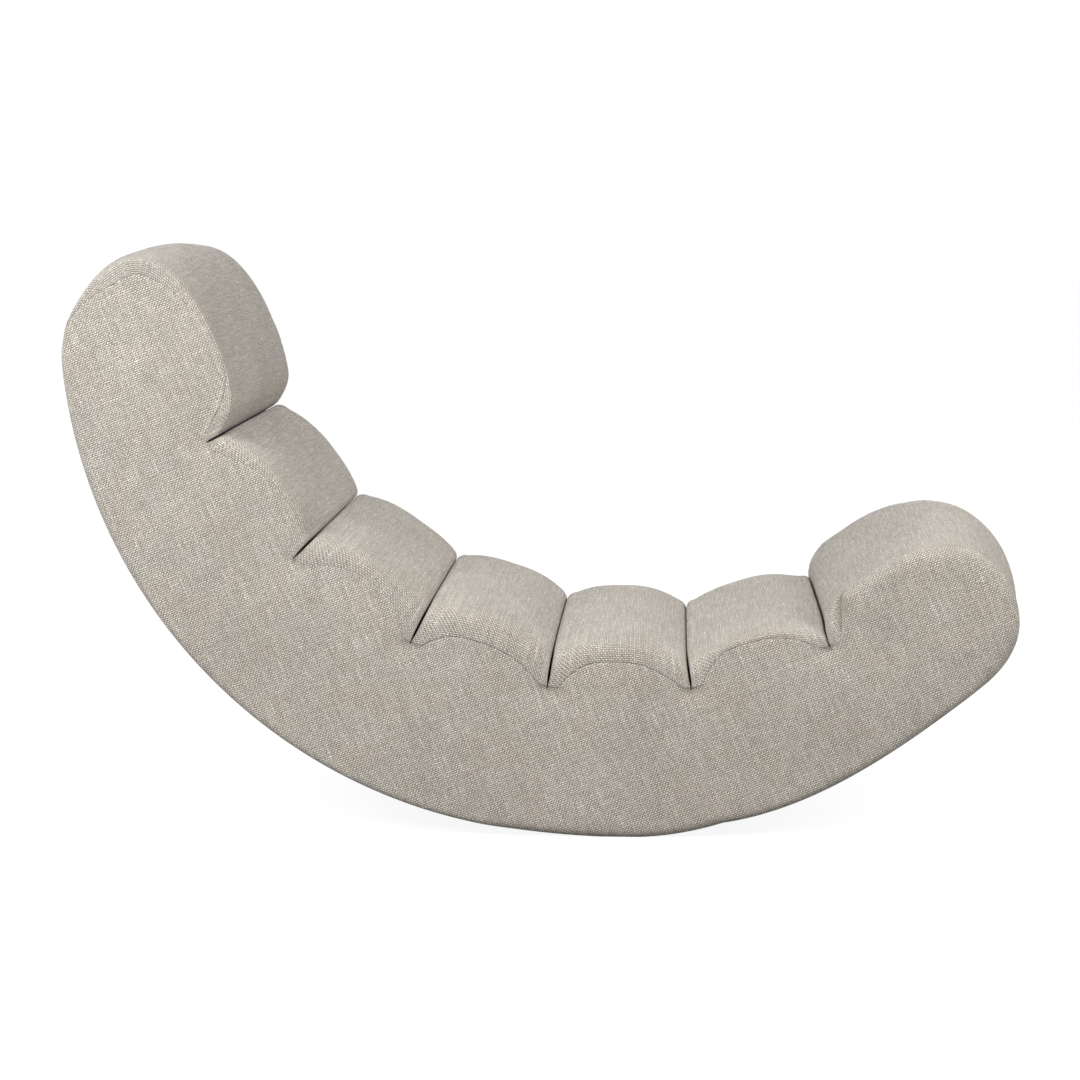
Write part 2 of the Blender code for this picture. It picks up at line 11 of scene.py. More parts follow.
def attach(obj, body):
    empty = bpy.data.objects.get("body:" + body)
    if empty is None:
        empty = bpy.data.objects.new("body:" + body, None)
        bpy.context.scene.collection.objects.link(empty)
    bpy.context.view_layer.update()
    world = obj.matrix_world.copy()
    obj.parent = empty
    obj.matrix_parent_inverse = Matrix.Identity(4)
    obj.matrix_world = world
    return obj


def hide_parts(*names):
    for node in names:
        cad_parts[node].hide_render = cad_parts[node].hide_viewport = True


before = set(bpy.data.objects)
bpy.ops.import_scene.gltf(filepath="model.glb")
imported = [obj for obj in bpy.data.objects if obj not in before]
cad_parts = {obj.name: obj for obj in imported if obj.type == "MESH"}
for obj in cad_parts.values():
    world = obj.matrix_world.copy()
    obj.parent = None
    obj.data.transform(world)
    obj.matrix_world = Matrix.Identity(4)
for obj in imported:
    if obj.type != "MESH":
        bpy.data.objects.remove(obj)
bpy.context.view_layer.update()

# Sizes are in metres. The rolls stand on the deck, an arc in the side view. Stations count rolls along it,
# so that slits lie at whole stations. Rises and losses are (start, reach) and falls (end, reach), in shares.

# Side view
ROLLS = 7
HALF_WIDTH = 0.33
CONTACT_X = 0.1300
SEAT_HEIGHT = 0.2296
DECK_RADIUS = 0.709
DECK_SETBACK = 0.0106
HEAD_THICKNESS = 0.172
FOOT_THICKNESS = 0.1835
ROLL_WIDTH = 0.2215
FIRST_SLIT_ARC = 0.776
HEAD_STATION = 0.25
FOOT_STATION = 6.667
HEAD_CREST = 0.5
FOOT_CREST = ROLLS - 0.5
REST_CUT = 0.0005

# Rolls, from the head to the foot: heights over the deck, and how square they are
ROLL_CROWNS = (0.0715, 0.068, 0.086, 0.096, 0.089, 0.063, 0.0614)
SEAM_CRESTS = (0.0690, 0.0505, 0.0455, 0.0395, 0.046, 0.047)
FOOT_EDGE = 0.0558
CROWN_POWER = 2.4
EDGE_POWER = 4.5
HEAD_POWER = 10.0
FOOT_POWER = 10.0
UNDER_POWER = 16.0
HEAD_POWER_RISE = (0.0, 0.3)
UNDER_POWER_RISE = (0.6, 0.4)
ROLL_BASE = -0.018

# Slits, from the head to the foot: crown heights beside them, and the lips of the rolls before and after
SLIT_HEIGHTS = (0.033, 0.056, 0.072, 0.065, 0.050, 0.0297)
RIGHT_LIPS = (0.0465, 0.018, 0.018, 0.016, 0.014, 0.004)
LEFT_LIPS = (0.012, 0.012, 0.012, 0.012, 0.012, 0.0672)
LIP_POWER = 2.0
FOOT_LIP_POWER = 2.6
LIP_RAISE = 0.55
SEAM_LIP = 0.003
SLIT_GAP = 0.0006
RUN = ROLL_WIDTH - SLIT_GAP

# Seam of a roll: a flat toe beside each slit, a steep rise and a slow fall
TOE_HEIGHT = -0.001
LEFT_TOE = 0.075
RIGHT_TOE = 0.052
RISE_POWERS = (3.5, 1.5, 2.0, 3.5, 3.5, 3.5)
FALL_POWERS = (2.4, 3.2, 2.8, 2.2, 2.1, 2.2)
FOOT_SEAM_RISE = (0.06, 0.22)
FOOT_SEAM_STEP = 0.0004
SEAM_VEILS = (0.0004, 0.0007, 0.0006, 0.0, 0.0, 0.0003, 0.0060)
VEIL_COLUMNS = 3

# Ends of the slab
HEAD_FRONT_PULL = 0.319
HEAD_BACK_PULL = 0.115
HEAD_SEAM_DROP = 0.0313
HEAD_SEAM_START = 0.12
HEAD_SEAM_RISE = (HEAD_SEAM_START, 0.35)
HEAD_SEAM_FALL = (1.06, 0.36)
HEAD_ARCH = 0.017
HEAD_ARCH_RISE = (HEAD_SEAM_START, 0.4)
HEAD_ARCH_LOSS = (0.6, 0.35)
HEAD_ARCH_LEFT = 0.4
FOOT_TOP_PULL = 0.2314
FOOT_END_PULL = 0.1650
FOOT_TRIM = 0.0038
FOOT_TRIM_RISE = (0.34, 0.16)
FOOT_TRIM_FALL = (0.82, 0.22)
FOOT_STEP_FALL = (0.42, 0.16)
FOOT_ARCH = 0.0292
FOOT_ARCH_RISE = (0.0, 0.391)
FOOT_ARCH_LOSS = (0.452, 0.40)

# Underside
SOLE_BACK_RADIUS = 1.297
SOLE_BACK_SWEEP = radians(8.5)
SOLE_FRONT_RADIUS = 0.470
SOLE_FRONT_SWEEP = radians(18.5)
FRONT_RISE = radians(9.3)
FOOT_RISE = radians(38.6)
UNDER_THICKNESS = 0.015

# Rounding of the side where no seam shows: radii, and where it starts on the foot and ends on the head
BACK_ROUND = 0.009
SOLE_ROUND = 0.015
FRONT_ROUND = 0.013
END_ROUND = 0.020
FOOT_ROUND_START = 0.008
FOOT_ROUND_REACH = 0.04
HEAD_ROUND_END = 0.26
HEAD_ROUND_REACH = 0.15
ROUND_STEP = 0.0015
ROUND_BLEND = 16
ROUND_LIMIT = 0.99
SMALLEST_ROUND = 1e-6

# Slits that part a little, the last roll that leans on the foot, and walls that draw in behind the panel
GAPE = 0.0013
GAPE_REACH = 0.016
GAPE_RISE = (0.0, 0.3)
GAPE_FALL = (1.0, 0.4)
LAST_LEAN = 0.0068
LEAN_REACH = 0.03
LEAN_WALL_POWER = 3
WALL_DRAW = 0.012
WALL_DRAW_POWER = 0.7

# Room below the crown for the cloth to swell into, and the tuck of cloth at a seam
SWELL = 0.0032
SWELL_REACH = 0.03
SWELL_POWER = 8
TUCK = 0.0010
TUCK_REACH = 0.0010
LEDGE = 0.0055

# Puckers along the seams
ROLL_RIPPLES = (0.0032, 0.0006, 0.0006, 0.0006, 0.0006, 0.0006, 0.0)
HEAD_RIPPLE_RISE = (0.36, 0.15)
PUCKER_PITCH = 0.0045
PUCKER_DRIFT = 0.03
PUCKER_SHIFT = 0.3
PUCKER_REACH = 0.010
PUCKER_CLEAR = 0.0015

# Side panels
PANEL_BACK = 0.3255
PANEL_PUFF = 0.0035
PUFF_REACH = 0.055
PUFF_POWER = 1.3
PANEL_EDGE = 0.004
PANEL_TAPER = 0.020
BEAD = 0.0013
BEAD_PLACE = 0.0022
BEAD_WIDTH = 0.0016
BEAD_RISE = (0.5, 0.2)
BEAD_STOP = 2
DIMPLE = 0.005
DIMPLE_REACH = 0.022
DIMPLE_CLEAR = 0.004
GRAIN = radians(22)

# Shade painted into the cloth in the slits: its reach, how narrow it is away from their ends, and how dark
# it is there.
# The depths start and end with a value for the free ends of the head and the foot.
SLIT_SHADE = 0.0075
SLIT_NARROW = 0.25
SLIT_DEPTHS = (1.0, 1.0, 1.0, 1.0, 1.0, 1.0, 0.35, 1.0)
SLIT_END_RISE = (0.6, 0.35)

# How far from the seams the pale yarns on a roll are at their full strength
TOP_REACH = 0.05

# Fineness of the meshes
CAP_POINTS = 52
HEAD_TOP_POINTS = 20
FOOT_TOP_POINTS = 24
ROLL_TOP_POINTS = 42
BASE_POINTS = 6
LIP_POINTS = 10
WALL_STEPS = 6
CLIMB = np.arange(WALL_STEPS) / WALL_STEPS
MIDDLE_STEPS = 18
FRONT_POINTS = 70
SOLE_FRONT_POINTS = 26
SOLE_BACK_POINTS = 30
BACK_POINTS = 150
UNDER_LINE_STEP = 0.006
UNDER_STEPS = 22
UNDER_EDGE = np.array([0.0, 0.0008, 0.002, 0.004, 0.009])
OUTLINE_STEP = 0.0035
RINGS = (0.0009, 0.0022, 0.0045, 0.008, 0.013)
RING_KEEP = 0.8
FILL_STEP = 0.009
FILL_ROW = 0.866
FILL_CLEAR = 1.4
MERGE_LIMIT = 1e-7
INSIDE_ONLY = 1
SHARP_ANGLE = radians(55)
TINY = 1e-9
TINY_AREA = 1e-12
SOME_POINTS = 2000

# Rows up the shoulder of a roll, as shares of the way from the seam to the crown
SHOULDER = np.array([0.0, 0.012, 0.028, 0.055, 0.10, 0.16, 0.23, 0.30, 0.37, 0.44, 0.51, 0.58, 0.64, 0.70,
                     0.755, 0.80, 0.84, 0.875, 0.905, 0.93])

RANDOM = np.random.default_rng(7)

Roll = namedtuple("Roll", "points top veil")
Panel = namedtuple("Panel", "flat faces outer inner weave on_border")


# Helpers

def smoothstep(value):
    value = np.clip(value, 0, 1)
    return value * value * (3 - 2 * value)


def rising(value, start, reach):
    return smoothstep((value - start) / reach)


def falling(value, end, reach):
    return smoothstep((end - value) / reach)


def join(*arrays):
    return np.concatenate(arrays)


def inward(headings):
    headings = np.asarray(headings)
    return np.stack([headings[..., 1], -headings[..., 0]], -1)


def headings_along(points):
    steps = np.gradient(points, axis=0)
    return steps / np.linalg.norm(steps, axis=1, keepdims=True)


def sunk(points, depth):
    # A line moved inward, by a depth at each point
    return points + inward(headings_along(points)) * depth[:, None]


def at_width(flat, y):
    # Points of the side view at a place across the width
    return np.stack([flat[..., 0], y, flat[..., 1]], -1)


def length_along(points):
    steps = np.linalg.norm(np.diff(points, axis=0), axis=-1)
    return join([0.0], np.cumsum(steps))


def even(points, step):
    # The same line with points an even step apart
    length = length_along(points)
    count = max(int(length[-1] / step), 2)
    places = np.linspace(0, length[-1], count + 1)
    return np.stack([np.interp(places, length, column) for column in points.T], -1)


def nearest_on(points, line):
    # Shortest distance from each point to a polyline, and the step of the line that is nearest
    near = np.full(len(points), np.inf)
    which = np.zeros(len(points), int)
    starts = line[:-1]
    runs = np.diff(line, axis=0)
    squares = np.maximum((runs * runs).sum(1), TINY ** 2)
    for first in range(0, len(points), SOME_POINTS):
        some = slice(first, first + SOME_POINTS)
        offsets = points[some, None, :] - starts[None]
        share = np.clip((offsets * runs).sum(2) / squares, 0, 1)
        away = ((offsets - share[..., None] * runs) ** 2).sum(2)
        which[some] = away.argmin(1)
        near[some] = np.sqrt(away.min(1))
    return near, which


def bezier(start, start_pull, end_pull, end, t):
    t = t[:, None]
    u = 1 - t
    return (u ** 3 * start + 3 * u * u * t * (start + start_pull)
            + 3 * u * t * t * (end + end_pull) + t ** 3 * end)


def add_object(name, data):
    added = bpy.data.objects.new(name, data)
    bpy.context.scene.collection.objects.link(added)
    return added


def add_mesh(name, vertices, faces):
    data = bpy.data.meshes.new(name)
    data.from_pydata(vertices, [], faces)
    return add_object(name, data)


def quads(here, after):
    # Faces between rows of vertex numbers and the rows after them
    return np.stack([here[:, :-1], after[:, :-1], after[:, 1:], here[:, 1:]], -1).reshape(-1, 4)


# Curves of the side view, as arrays of (x, z)

def deck_angle(station):
    return (-FIRST_SLIT_ARC + (np.asarray(station) - 1) * ROLL_WIDTH) / DECK_RADIUS


def deck(station, height):
    angle = deck_angle(station)
    radius = DECK_RADIUS - np.asarray(height)
    x = CONTACT_X - DECK_SETBACK + radius * np.sin(angle)
    z = SEAT_HEIGHT - REST_CUT + DECK_RADIUS - radius * np.cos(angle)
    return np.stack(np.broadcast_arrays(x, z), -1)


def deck_heading(station):
    angle = deck_angle(station)
    return np.array([np.cos(angle), np.sin(angle)])


def sloping(angle):
    return np.array([-np.cos(angle), -np.sin(angle)])


FLOOR_POINT = np.array([CONTACT_X, -REST_CUT])
HEAD_END = deck(HEAD_STATION, -HEAD_THICKNESS)
FOOT_END = deck(FOOT_STATION, -FOOT_THICKNESS)


def above_floor(points):
    return np.stack([points[:, 0], np.maximum(points[:, 1], 0.0)], -1)


def on_sole(angle, radius, way):
    # Points on an arc of the sole, by the angle from the floor point, to the front or the back
    return FLOOR_POINT + np.stack([way * np.sin(angle), 1 - np.cos(angle)], -1) * radius


def back_circle():
    # Centre and radius of the arc that goes on from the sole and ends at the top of the back
    start = on_sole(SOLE_BACK_SWEEP, SOLE_BACK_RADIUS, -1)
    chord = HEAD_END - start
    normal = inward(sloping(-SOLE_BACK_SWEEP))
    radius = chord @ chord / (2 * chord @ normal)
    return start + normal * radius, radius


def under_curves():
    front_end = on_sole(SOLE_FRONT_SWEEP, SOLE_FRONT_RADIUS, 1)
    reach = np.linalg.norm(front_end - FOOT_END) / 3
    front = bezier(FOOT_END, sloping(FOOT_RISE) * reach, -sloping(FRONT_RISE) * reach, front_end,
                   np.linspace(0, 1, FRONT_POINTS))
    fore = np.linspace(SOLE_FRONT_SWEEP, 0, SOLE_FRONT_POINTS)
    aft = np.linspace(0, SOLE_BACK_SWEEP, SOLE_BACK_POINTS)[1:]
    sole = join(on_sole(fore, SOLE_FRONT_RADIUS, 1), on_sole(aft, SOLE_BACK_RADIUS, -1))
    centre, radius = back_circle()
    top = HEAD_END - centre
    angles = np.linspace(SOLE_BACK_SWEEP, np.arctan2(-top[0], -top[1]), BACK_POINTS)
    back = centre - np.stack([np.sin(angles), np.cos(angles)], -1) * radius
    return above_floor(front), above_floor(sole), back


FRONT, SOLE, BACK = under_curves()
UNDERSIDE = join(FRONT, SOLE[1:], BACK[1:])
BACK_TOP_HEADING = headings_along(BACK)[-1]


# Tops of the rolls. Shares run across a roll, from its left slit to its right one.

def crown_height(roll, share):
    crest = ROLL_CROWNS[roll - 1]
    left = 0.0
    right = 0.0
    if roll == ROLLS:
        left = FOOT_EDGE
    elif roll > 1:
        left = SLIT_HEIGHTS[roll - 2] + LIP_RAISE * LEFT_LIPS[roll - 2]
    if roll < ROLLS:
        right = SLIT_HEIGHTS[roll - 1] + LIP_RAISE * RIGHT_LIPS[roll - 1]
    edge = np.where(share < 0.5, left, right)
    return crest - (crest - edge) * np.abs(2 * share - 1) ** CROWN_POWER


def lip_drop(distance, radius, power=LIP_POWER):
    inside = np.clip(1 - distance / radius, 0, 1)
    return radius * (1 - (1 - inside ** power) ** (1 / power))


def seam_height(roll, share):
    if roll == ROLLS:
        # The seam of the foot soon joins its crown
        lip = lip_drop(share * ROLL_WIDTH, LEFT_LIPS[-1], FOOT_LIP_POWER)
        crown = crown_height(roll, share) - lip - FOOT_SEAM_STEP
        return TOE_HEIGHT + (crown - TOE_HEIGHT) * rising(share, *FOOT_SEAM_RISE)
    rise = np.clip((share - LEFT_TOE) / (0.5 - LEFT_TOE), 0, 1)
    fall = np.clip((1 - RIGHT_TOE - share) / (0.5 - RIGHT_TOE), 0, 1)
    left = 1 - (1 - rise) ** RISE_POWERS[roll - 1]
    right = 1 - (1 - fall) ** FALL_POWERS[roll - 1]
    return TOE_HEIGHT + (SEAM_CRESTS[roll - 1] - TOE_HEIGHT) * np.where(share < 0.5, left, right)


def roll_top(roll, distance):
    # Crown and seam points at a distance from the left wall of a roll
    share = (SLIT_GAP / 2 + distance) / ROLL_WIDTH
    crown = crown_height(roll, share)
    seam = seam_height(roll, share)
    if roll > 1:
        power = FOOT_LIP_POWER if roll == ROLLS else LIP_POWER
        crown = crown - lip_drop(distance, LEFT_LIPS[roll - 2], power)
        seam = seam - lip_drop(distance, SEAM_LIP)
    if roll < ROLLS:
        crown = crown - lip_drop(RUN - distance, RIGHT_LIPS[roll - 1])
        seam = seam - lip_drop(RUN - distance, SEAM_LIP)
    station = roll - 1 + share
    return deck(station, crown), deck(station, seam)


def wall(roll, right):
    # Crown and seam points of a roll in a slit: up to the lip on its left side, and down on its right side
    share = (SLIT_GAP / 2 + (RUN if right else 0.0)) / ROLL_WIDTH
    lip = RIGHT_LIPS[roll - 1] if right else LEFT_LIPS[roll - 2]
    tops = (crown_height(roll, share) - lip, seam_height(roll, share) - SEAM_LIP)
    crowns, seams = (deck(roll - 1 + share, ROLL_BASE + (top - ROLL_BASE) * CLIMB) for top in tops)
    return (crowns[::-1], seams[::-1]) if right else (crowns, seams)


def lip_distances(radius):
    return radius * (1 - np.cos(np.linspace(0, pi / 2, LIP_POINTS)))


def foot_distances():
    lip = LEFT_LIPS[-1]
    return join(lip_distances(lip), np.linspace(lip, RUN / 2, FOOT_TOP_POINTS)[1:-1])


# Ends of the slab, with their crown points, their seam points and the share of the way to each

def head_cap():
    t = np.linspace(0, 1, CAP_POINTS)
    crest = deck(HEAD_CREST, ROLL_CROWNS[0])
    crowns = bezier(HEAD_END, BACK_TOP_HEADING * HEAD_BACK_PULL, deck_heading(HEAD_CREST) * -HEAD_FRONT_PULL,
                    crest, t)
    drop = HEAD_SEAM_DROP * rising(t, *HEAD_SEAM_RISE) * falling(t, *HEAD_SEAM_FALL)
    return crowns, sunk(crowns, drop), t


def foot_cap():
    t = np.linspace(0, 1, CAP_POINTS)
    crest = deck(FOOT_CREST, ROLL_CROWNS[-1])
    crowns = bezier(crest, deck_heading(FOOT_CREST) * FOOT_TOP_PULL, -sloping(FOOT_RISE) * FOOT_END_PULL,
                    FOOT_END, t)
    trim = FOOT_TRIM * rising(t, *FOOT_TRIM_RISE) * falling(t, *FOOT_TRIM_FALL)
    crowns = sunk(crowns, trim)
    drop = FOOT_SEAM_STEP * falling(t, *FOOT_STEP_FALL)
    return crowns, sunk(crowns, drop), t


# Rounded edges of the side

def rounded_line():
    # Where the side rounds over with no seam in sight: points along the foot, the underside and the back of
    # the head, with the radius at each
    distances = foot_distances()
    distances = distances[distances >= FOOT_ROUND_START]
    foot_rounds = END_ROUND * rising(distances, FOOT_ROUND_START, FOOT_ROUND_REACH)
    head, _, head_t = head_cap()
    back = head_t <= HEAD_ROUND_END
    head_rounds = BACK_ROUND * falling(head_t[back], HEAD_ROUND_END, HEAD_ROUND_REACH)
    parts = ((roll_top(ROLLS, distances)[1], foot_rounds), (foot_cap()[1], END_ROUND),
             (FRONT[1:], FRONT_ROUND), (SOLE[1:], SOLE_ROUND), (BACK[1:-1], BACK_ROUND),
             (head[back], head_rounds))
    parts = [np.column_stack([points, np.broadcast_to(radius, len(points))]) for points, radius in parts]
    line = even(join(*parts), ROUND_STEP)
    padded = np.pad(line[:, 2], ROUND_BLEND, mode="edge")
    window = 2 * ROUND_BLEND + 1
    line[:, 2] = np.convolve(padded, np.full(window, 1 / window), mode="valid")
    return line


ROUNDED = rounded_line()


def rounding_near(points):
    # The nearest step of the rounded line, the radius there, and how far each point is inside it
    distance, step = nearest_on(points, ROUNDED[:, :2])
    radius = np.maximum(ROUNDED[step, 2], SMALLEST_ROUND)
    return step, radius, np.clip(1 - distance / radius, 0, 1)


def edge_drop(points):
    # How far the side draws in where it rounds over into the ends and the underside
    _, radius, inside = rounding_near(points)
    return radius * (1 - np.sqrt(1 - (inside * ROUND_LIMIT) ** 2))


# Closed side views of the rolls: pairs of crown and seam points, powers across the width, arch heights,
# the first column that shows and the end of those that show

def head_loop():
    crowns, seams, t = head_cap()
    lip = RIGHT_LIPS[0]
    distances = join(np.linspace(RUN / 2, RUN - lip, HEAD_TOP_POINTS)[1:-1],
                     RUN - lip_distances(lip)[::-1])
    base = join(deck(np.linspace(1.0, HEAD_STATION, BASE_POINTS)[1:], ROLL_BASE),
                [HEAD_END + inward(BACK_TOP_HEADING) * UNDER_THICKNESS])
    parts = [(crowns, seams), roll_top(1, distances), wall(1, True), (base, base)]
    unseen = WALL_STEPS + len(base)
    powers = [UNDER_POWER + (HEAD_POWER - UNDER_POWER) * rising(t, *HEAD_POWER_RISE),
              np.full(len(distances) + unseen, HEAD_POWER)]
    arch = [rising(t, *HEAD_ARCH_RISE) * (1 - (1 - HEAD_ARCH_LEFT) * rising(t, *HEAD_ARCH_LOSS)),
            HEAD_ARCH_LEFT * falling(distances, RUN, RUN / 2),
            np.zeros(unseen)]
    return parts, join(*powers), HEAD_ARCH * join(*arch), 0, len(crowns) + len(distances)


def middle_loop(roll):
    left_lip = LEFT_LIPS[roll - 2]
    right_lip = RIGHT_LIPS[roll - 1]
    distances = join(lip_distances(left_lip),
                     np.linspace(left_lip, RUN - right_lip, ROLL_TOP_POINTS)[1:-1],
                     RUN - lip_distances(right_lip)[::-1])
    base = deck(np.linspace(roll, roll - 1, BASE_POINTS)[1:-1], ROLL_BASE)
    parts = [wall(roll, False), roll_top(roll, distances), wall(roll, True), (base, base)]
    count = sum(len(crowns) for crowns, _ in parts)
    return parts, np.full(count, EDGE_POWER), np.zeros(count), WALL_STEPS, WALL_STEPS + len(distances)


def foot_loop():
    crowns, seams, t = foot_cap()
    distances = foot_distances()
    base = join([FOOT_END + inward(sloping(FOOT_RISE)) * UNDER_THICKNESS],
                deck(np.linspace(FOOT_STATION, ROLLS - 1, BASE_POINTS)[:-1], ROLL_BASE))
    parts = [wall(ROLLS, False), roll_top(ROLLS, distances), (crowns, seams), (base, base)]
    before = WALL_STEPS + len(distances)
    powers = [np.full(before, FOOT_POWER),
              FOOT_POWER + (UNDER_POWER - FOOT_POWER) * rising(t, *UNDER_POWER_RISE),
              np.full(len(base), EDGE_POWER)]
    arch = [np.zeros(before),
            rising(t, *FOOT_ARCH_RISE) - rising(t, *FOOT_ARCH_LOSS),
            np.zeros(len(base))]
    return parts, join(*powers), FOOT_ARCH * join(*arch), WALL_STEPS, before + len(crowns)


# Grids of the rolls: columns go round the side view and rows across the width

def cross_rows(powers):
    # Depth and fullness across the width for each column, from one seam to the other
    powers = powers[:, None]
    shoulder_depth = (1 - SHOULDER ** powers) ** (1 / powers)
    shoulder_full = np.broadcast_to(SHOULDER, shoulder_depth.shape)
    middle_depth = shoulder_depth[:, -1:] * (np.arange(MIDDLE_STEPS - 1, -1, -1) / MIDDLE_STEPS)
    middle_full = (1 - middle_depth ** powers) ** (1 / powers)
    depth = np.hstack([shoulder_depth, middle_depth])
    full = np.hstack([shoulder_full, middle_full])
    return np.hstack([-depth, depth[:, -2::-1]]), np.hstack([full, full[:, -2::-1]])


def seam_veil(roll, count, first):
    # How well a seam hides, as a length added to the distance from it
    veil = np.full(count, SEAM_VEILS[roll - 1])
    if roll == ROLLS:
        veil *= rising(np.arange(count), first, VEIL_COLUMNS)
    return veil


def tuck(distance):
    return TUCK * np.exp(-distance / TUCK_REACH)


def slit_moves(roll, full, from_left, from_right, shown):
    # How far the points beside a slit move along the deck
    part = GAPE * rising(full, *GAPE_RISE) * falling(full, *GAPE_FALL)
    moves = np.zeros(full.shape + (2,))
    if 1 < roll < ROLLS:
        share = 1 - smoothstep(from_left / GAPE_REACH)
        moves += deck_heading(roll - 1) * (part * share[:, None])[..., None]
    if roll == ROLLS - 1:
        # The last roll leans against the foot
        share = 1 - smoothstep(from_right / LEAN_REACH)
        share[shown:] = 0
        share[shown:shown + WALL_STEPS] = CLIMB[::-1] ** LEAN_WALL_POWER
        moves += deck_heading(roll) * (LAST_LEAN * full ** 2 * share[:, None])[..., None]
    elif roll < ROLLS:
        share = 1 - smoothstep(from_right / GAPE_REACH)
        moves -= deck_heading(roll) * (part * share[:, None])[..., None]
    return moves


def wall_draw(roll, count, shown):
    # Walls draw in below the end of a slit, so that the side panel covers them
    hidden = np.zeros(count)
    hidden[shown:] = 1.0
    if roll > 1:
        hidden[:WALL_STEPS] = 1 - CLIMB
    if roll < ROLLS:
        hidden[shown:shown + WALL_STEPS] = 1 - CLIMB[::-1]
    return WALL_DRAW * hidden ** WALL_DRAW_POWER


def roll_grid(roll):
    loop = {1: head_loop, ROLLS: foot_loop}.get(roll)
    parts, powers, arch, first, shown = loop() if loop else middle_loop(roll)
    crowns = join(*[part[0] for part in parts])
    seams = join(*[part[1] for part in parts])
    depth, full = cross_rows(powers)
    flat = seams[:, None] + (crowns - seams)[:, None] * full[..., None]
    places = length_along(crowns)
    from_left = places - places[first]
    from_right = places[shown - 1] - places
    swell = (0.0 if roll == ROLLS else SWELL) * smoothstep(np.minimum(from_left, from_right) / SWELL_REACH)
    lift = arch[:, None] * (1 - depth ** 2) - swell[:, None] * (1 - depth ** SWELL_POWER)
    flat -= inward(headings_along(crowns))[:, None] * lift[..., None]
    flat += slit_moves(roll, full, from_left, from_right, shown)
    drop = edge_drop(seams)
    drop[shown:] = 0
    from_seam = full * np.linalg.norm(crowns - seams, axis=1)[:, None]
    veil = seam_veil(roll, len(crowns), first)
    y = depth * (HALF_WIDTH - drop[:, None]) - np.sign(depth) * tuck(from_seam + veil[:, None])
    y -= np.sign(depth) * wall_draw(roll, len(crowns), shown)[:, None]
    return Roll(at_width(flat, y), slice(first, shown), veil)


# Cloth simulation

PRESSURE = 4.0
SIM_FRAMES = 20
SIM_QUALITY = 5
SIM_STEP = 0.011
SIM_LAST_STEP = 0.6
SIM_CAP = 0.0045
SLACK = 0.012
MOVE_FADE = 0.03
CALM_PASSES = 4


def spaced(lengths, step):
    # Indices along a line that are at least a step apart, with both ends
    chosen = [0]
    for index in range(1, len(lengths) - 1):
        left_over = lengths[-1] - lengths[index]
        if lengths[index] - lengths[chosen[-1]] >= step and left_over >= step * SIM_LAST_STEP:
            chosen.append(index)
    return np.array(chosen + [len(lengths) - 1])


def cloth_grid(name, points):
    # A sheet of cloth under pressure, pinned along its border
    rows, columns = points.shape[:2]
    index = np.arange(rows * columns).reshape(rows, columns)
    cloth = add_mesh(name, points.reshape(-1, 3).tolist(), quads(index[:-1], index[1:]).tolist())
    border = join(index[0], index[-1], index[:, 0], index[:, -1])
    cloth.vertex_groups.new(name="pin").add([int(i) for i in border], 1.0, "REPLACE")
    modifier = cloth.modifiers.new("cloth", "CLOTH")
    settings = modifier.settings
    settings.vertex_group_mass = "pin"
    settings.use_pressure = True
    settings.uniform_pressure_force = PRESSURE
    settings.effector_weights.gravity = 0.0
    settings.shrink_min = -SLACK
    settings.quality = SIM_QUALITY
    modifier.point_cache.frame_start = 1
    modifier.point_cache.frame_end = SIM_FRAMES
    return cloth


def spread(values, lengths, chosen):
    # Values at chosen places along the first axis, drawn out to every place
    flat = values.reshape(len(chosen), -1)
    out = np.stack([np.interp(lengths, lengths[chosen], column) for column in flat.T], -1)
    return out.reshape((len(lengths),) + values.shape[1:])


def calm(move):
    # Evens out small buckles, with the pinned border kept in place
    for _ in range(CALM_PASSES):
        inner = move[1:-1, 1:-1]
        beside = move[:-2, 1:-1] + move[2:, 1:-1] + move[1:-1, :-2] + move[1:-1, 2:]
        move[1:-1, 1:-1] = (2 * inner + beside) / 6
    return move


def relax(grids):
    # Inflate every roll cover as pinned cloth; returns how far each point moves
    jobs = []
    for name, points in grids.items():
        along = length_along(points[:, points.shape[1] // 2])
        across = length_along(points[points.shape[0] // 2])
        narrow = np.linalg.norm(np.diff(points, axis=1), axis=2).min(0)
        rows = spaced(along, SIM_STEP)
        columns = spaced(join([0.0], np.cumsum(narrow)), SIM_STEP)
        coarse = points[np.ix_(rows, columns)]
        jobs.append((name, coarse, along, across, rows, columns, cloth_grid(f"sim_{name}", coarse)))
    scene = bpy.context.scene
    for step in range(1, SIM_FRAMES + 1):
        scene.frame_set(step)
    moves = {}
    graph = bpy.context.evaluated_depsgraph_get()
    for name, coarse, along, across, rows, columns, cloth in jobs:
        shape = cloth.evaluated_get(graph).data
        found = np.zeros(len(shape.vertices) * 3, np.float32)
        shape.vertices.foreach_get("co", found)
        move = found.reshape(coarse.shape) - coarse
        size = np.linalg.norm(move, axis=2, keepdims=True)
        move = calm(move * (SIM_CAP * np.tanh(size / SIM_CAP) / np.maximum(size, TINY)))
        move = spread(move, along, rows)
        moves[name] = spread(move.transpose(1, 0, 2), across, columns).transpose(1, 0, 2)
    for job in jobs:
        data = job[-1].data
        bpy.data.objects.remove(job[-1], do_unlink=True)
        bpy.data.meshes.remove(data)
    scene.frame_set(1)
    return moves


# Pieces

def make_piece(name, vertices, faces, weave, nodes):
    piece = add_mesh(name, vertices.tolist(), faces)
    data = piece.data
    attribute = data.attributes.new("weave", "FLOAT_VECTOR", "POINT")
    attribute.data.foreach_set("vector", weave.astype(np.float32).ravel())
    data.validate()
    data.shade_smooth()
    data.materials.append(LINEN)
    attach(piece, "root")
    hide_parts(*nodes)
    return piece


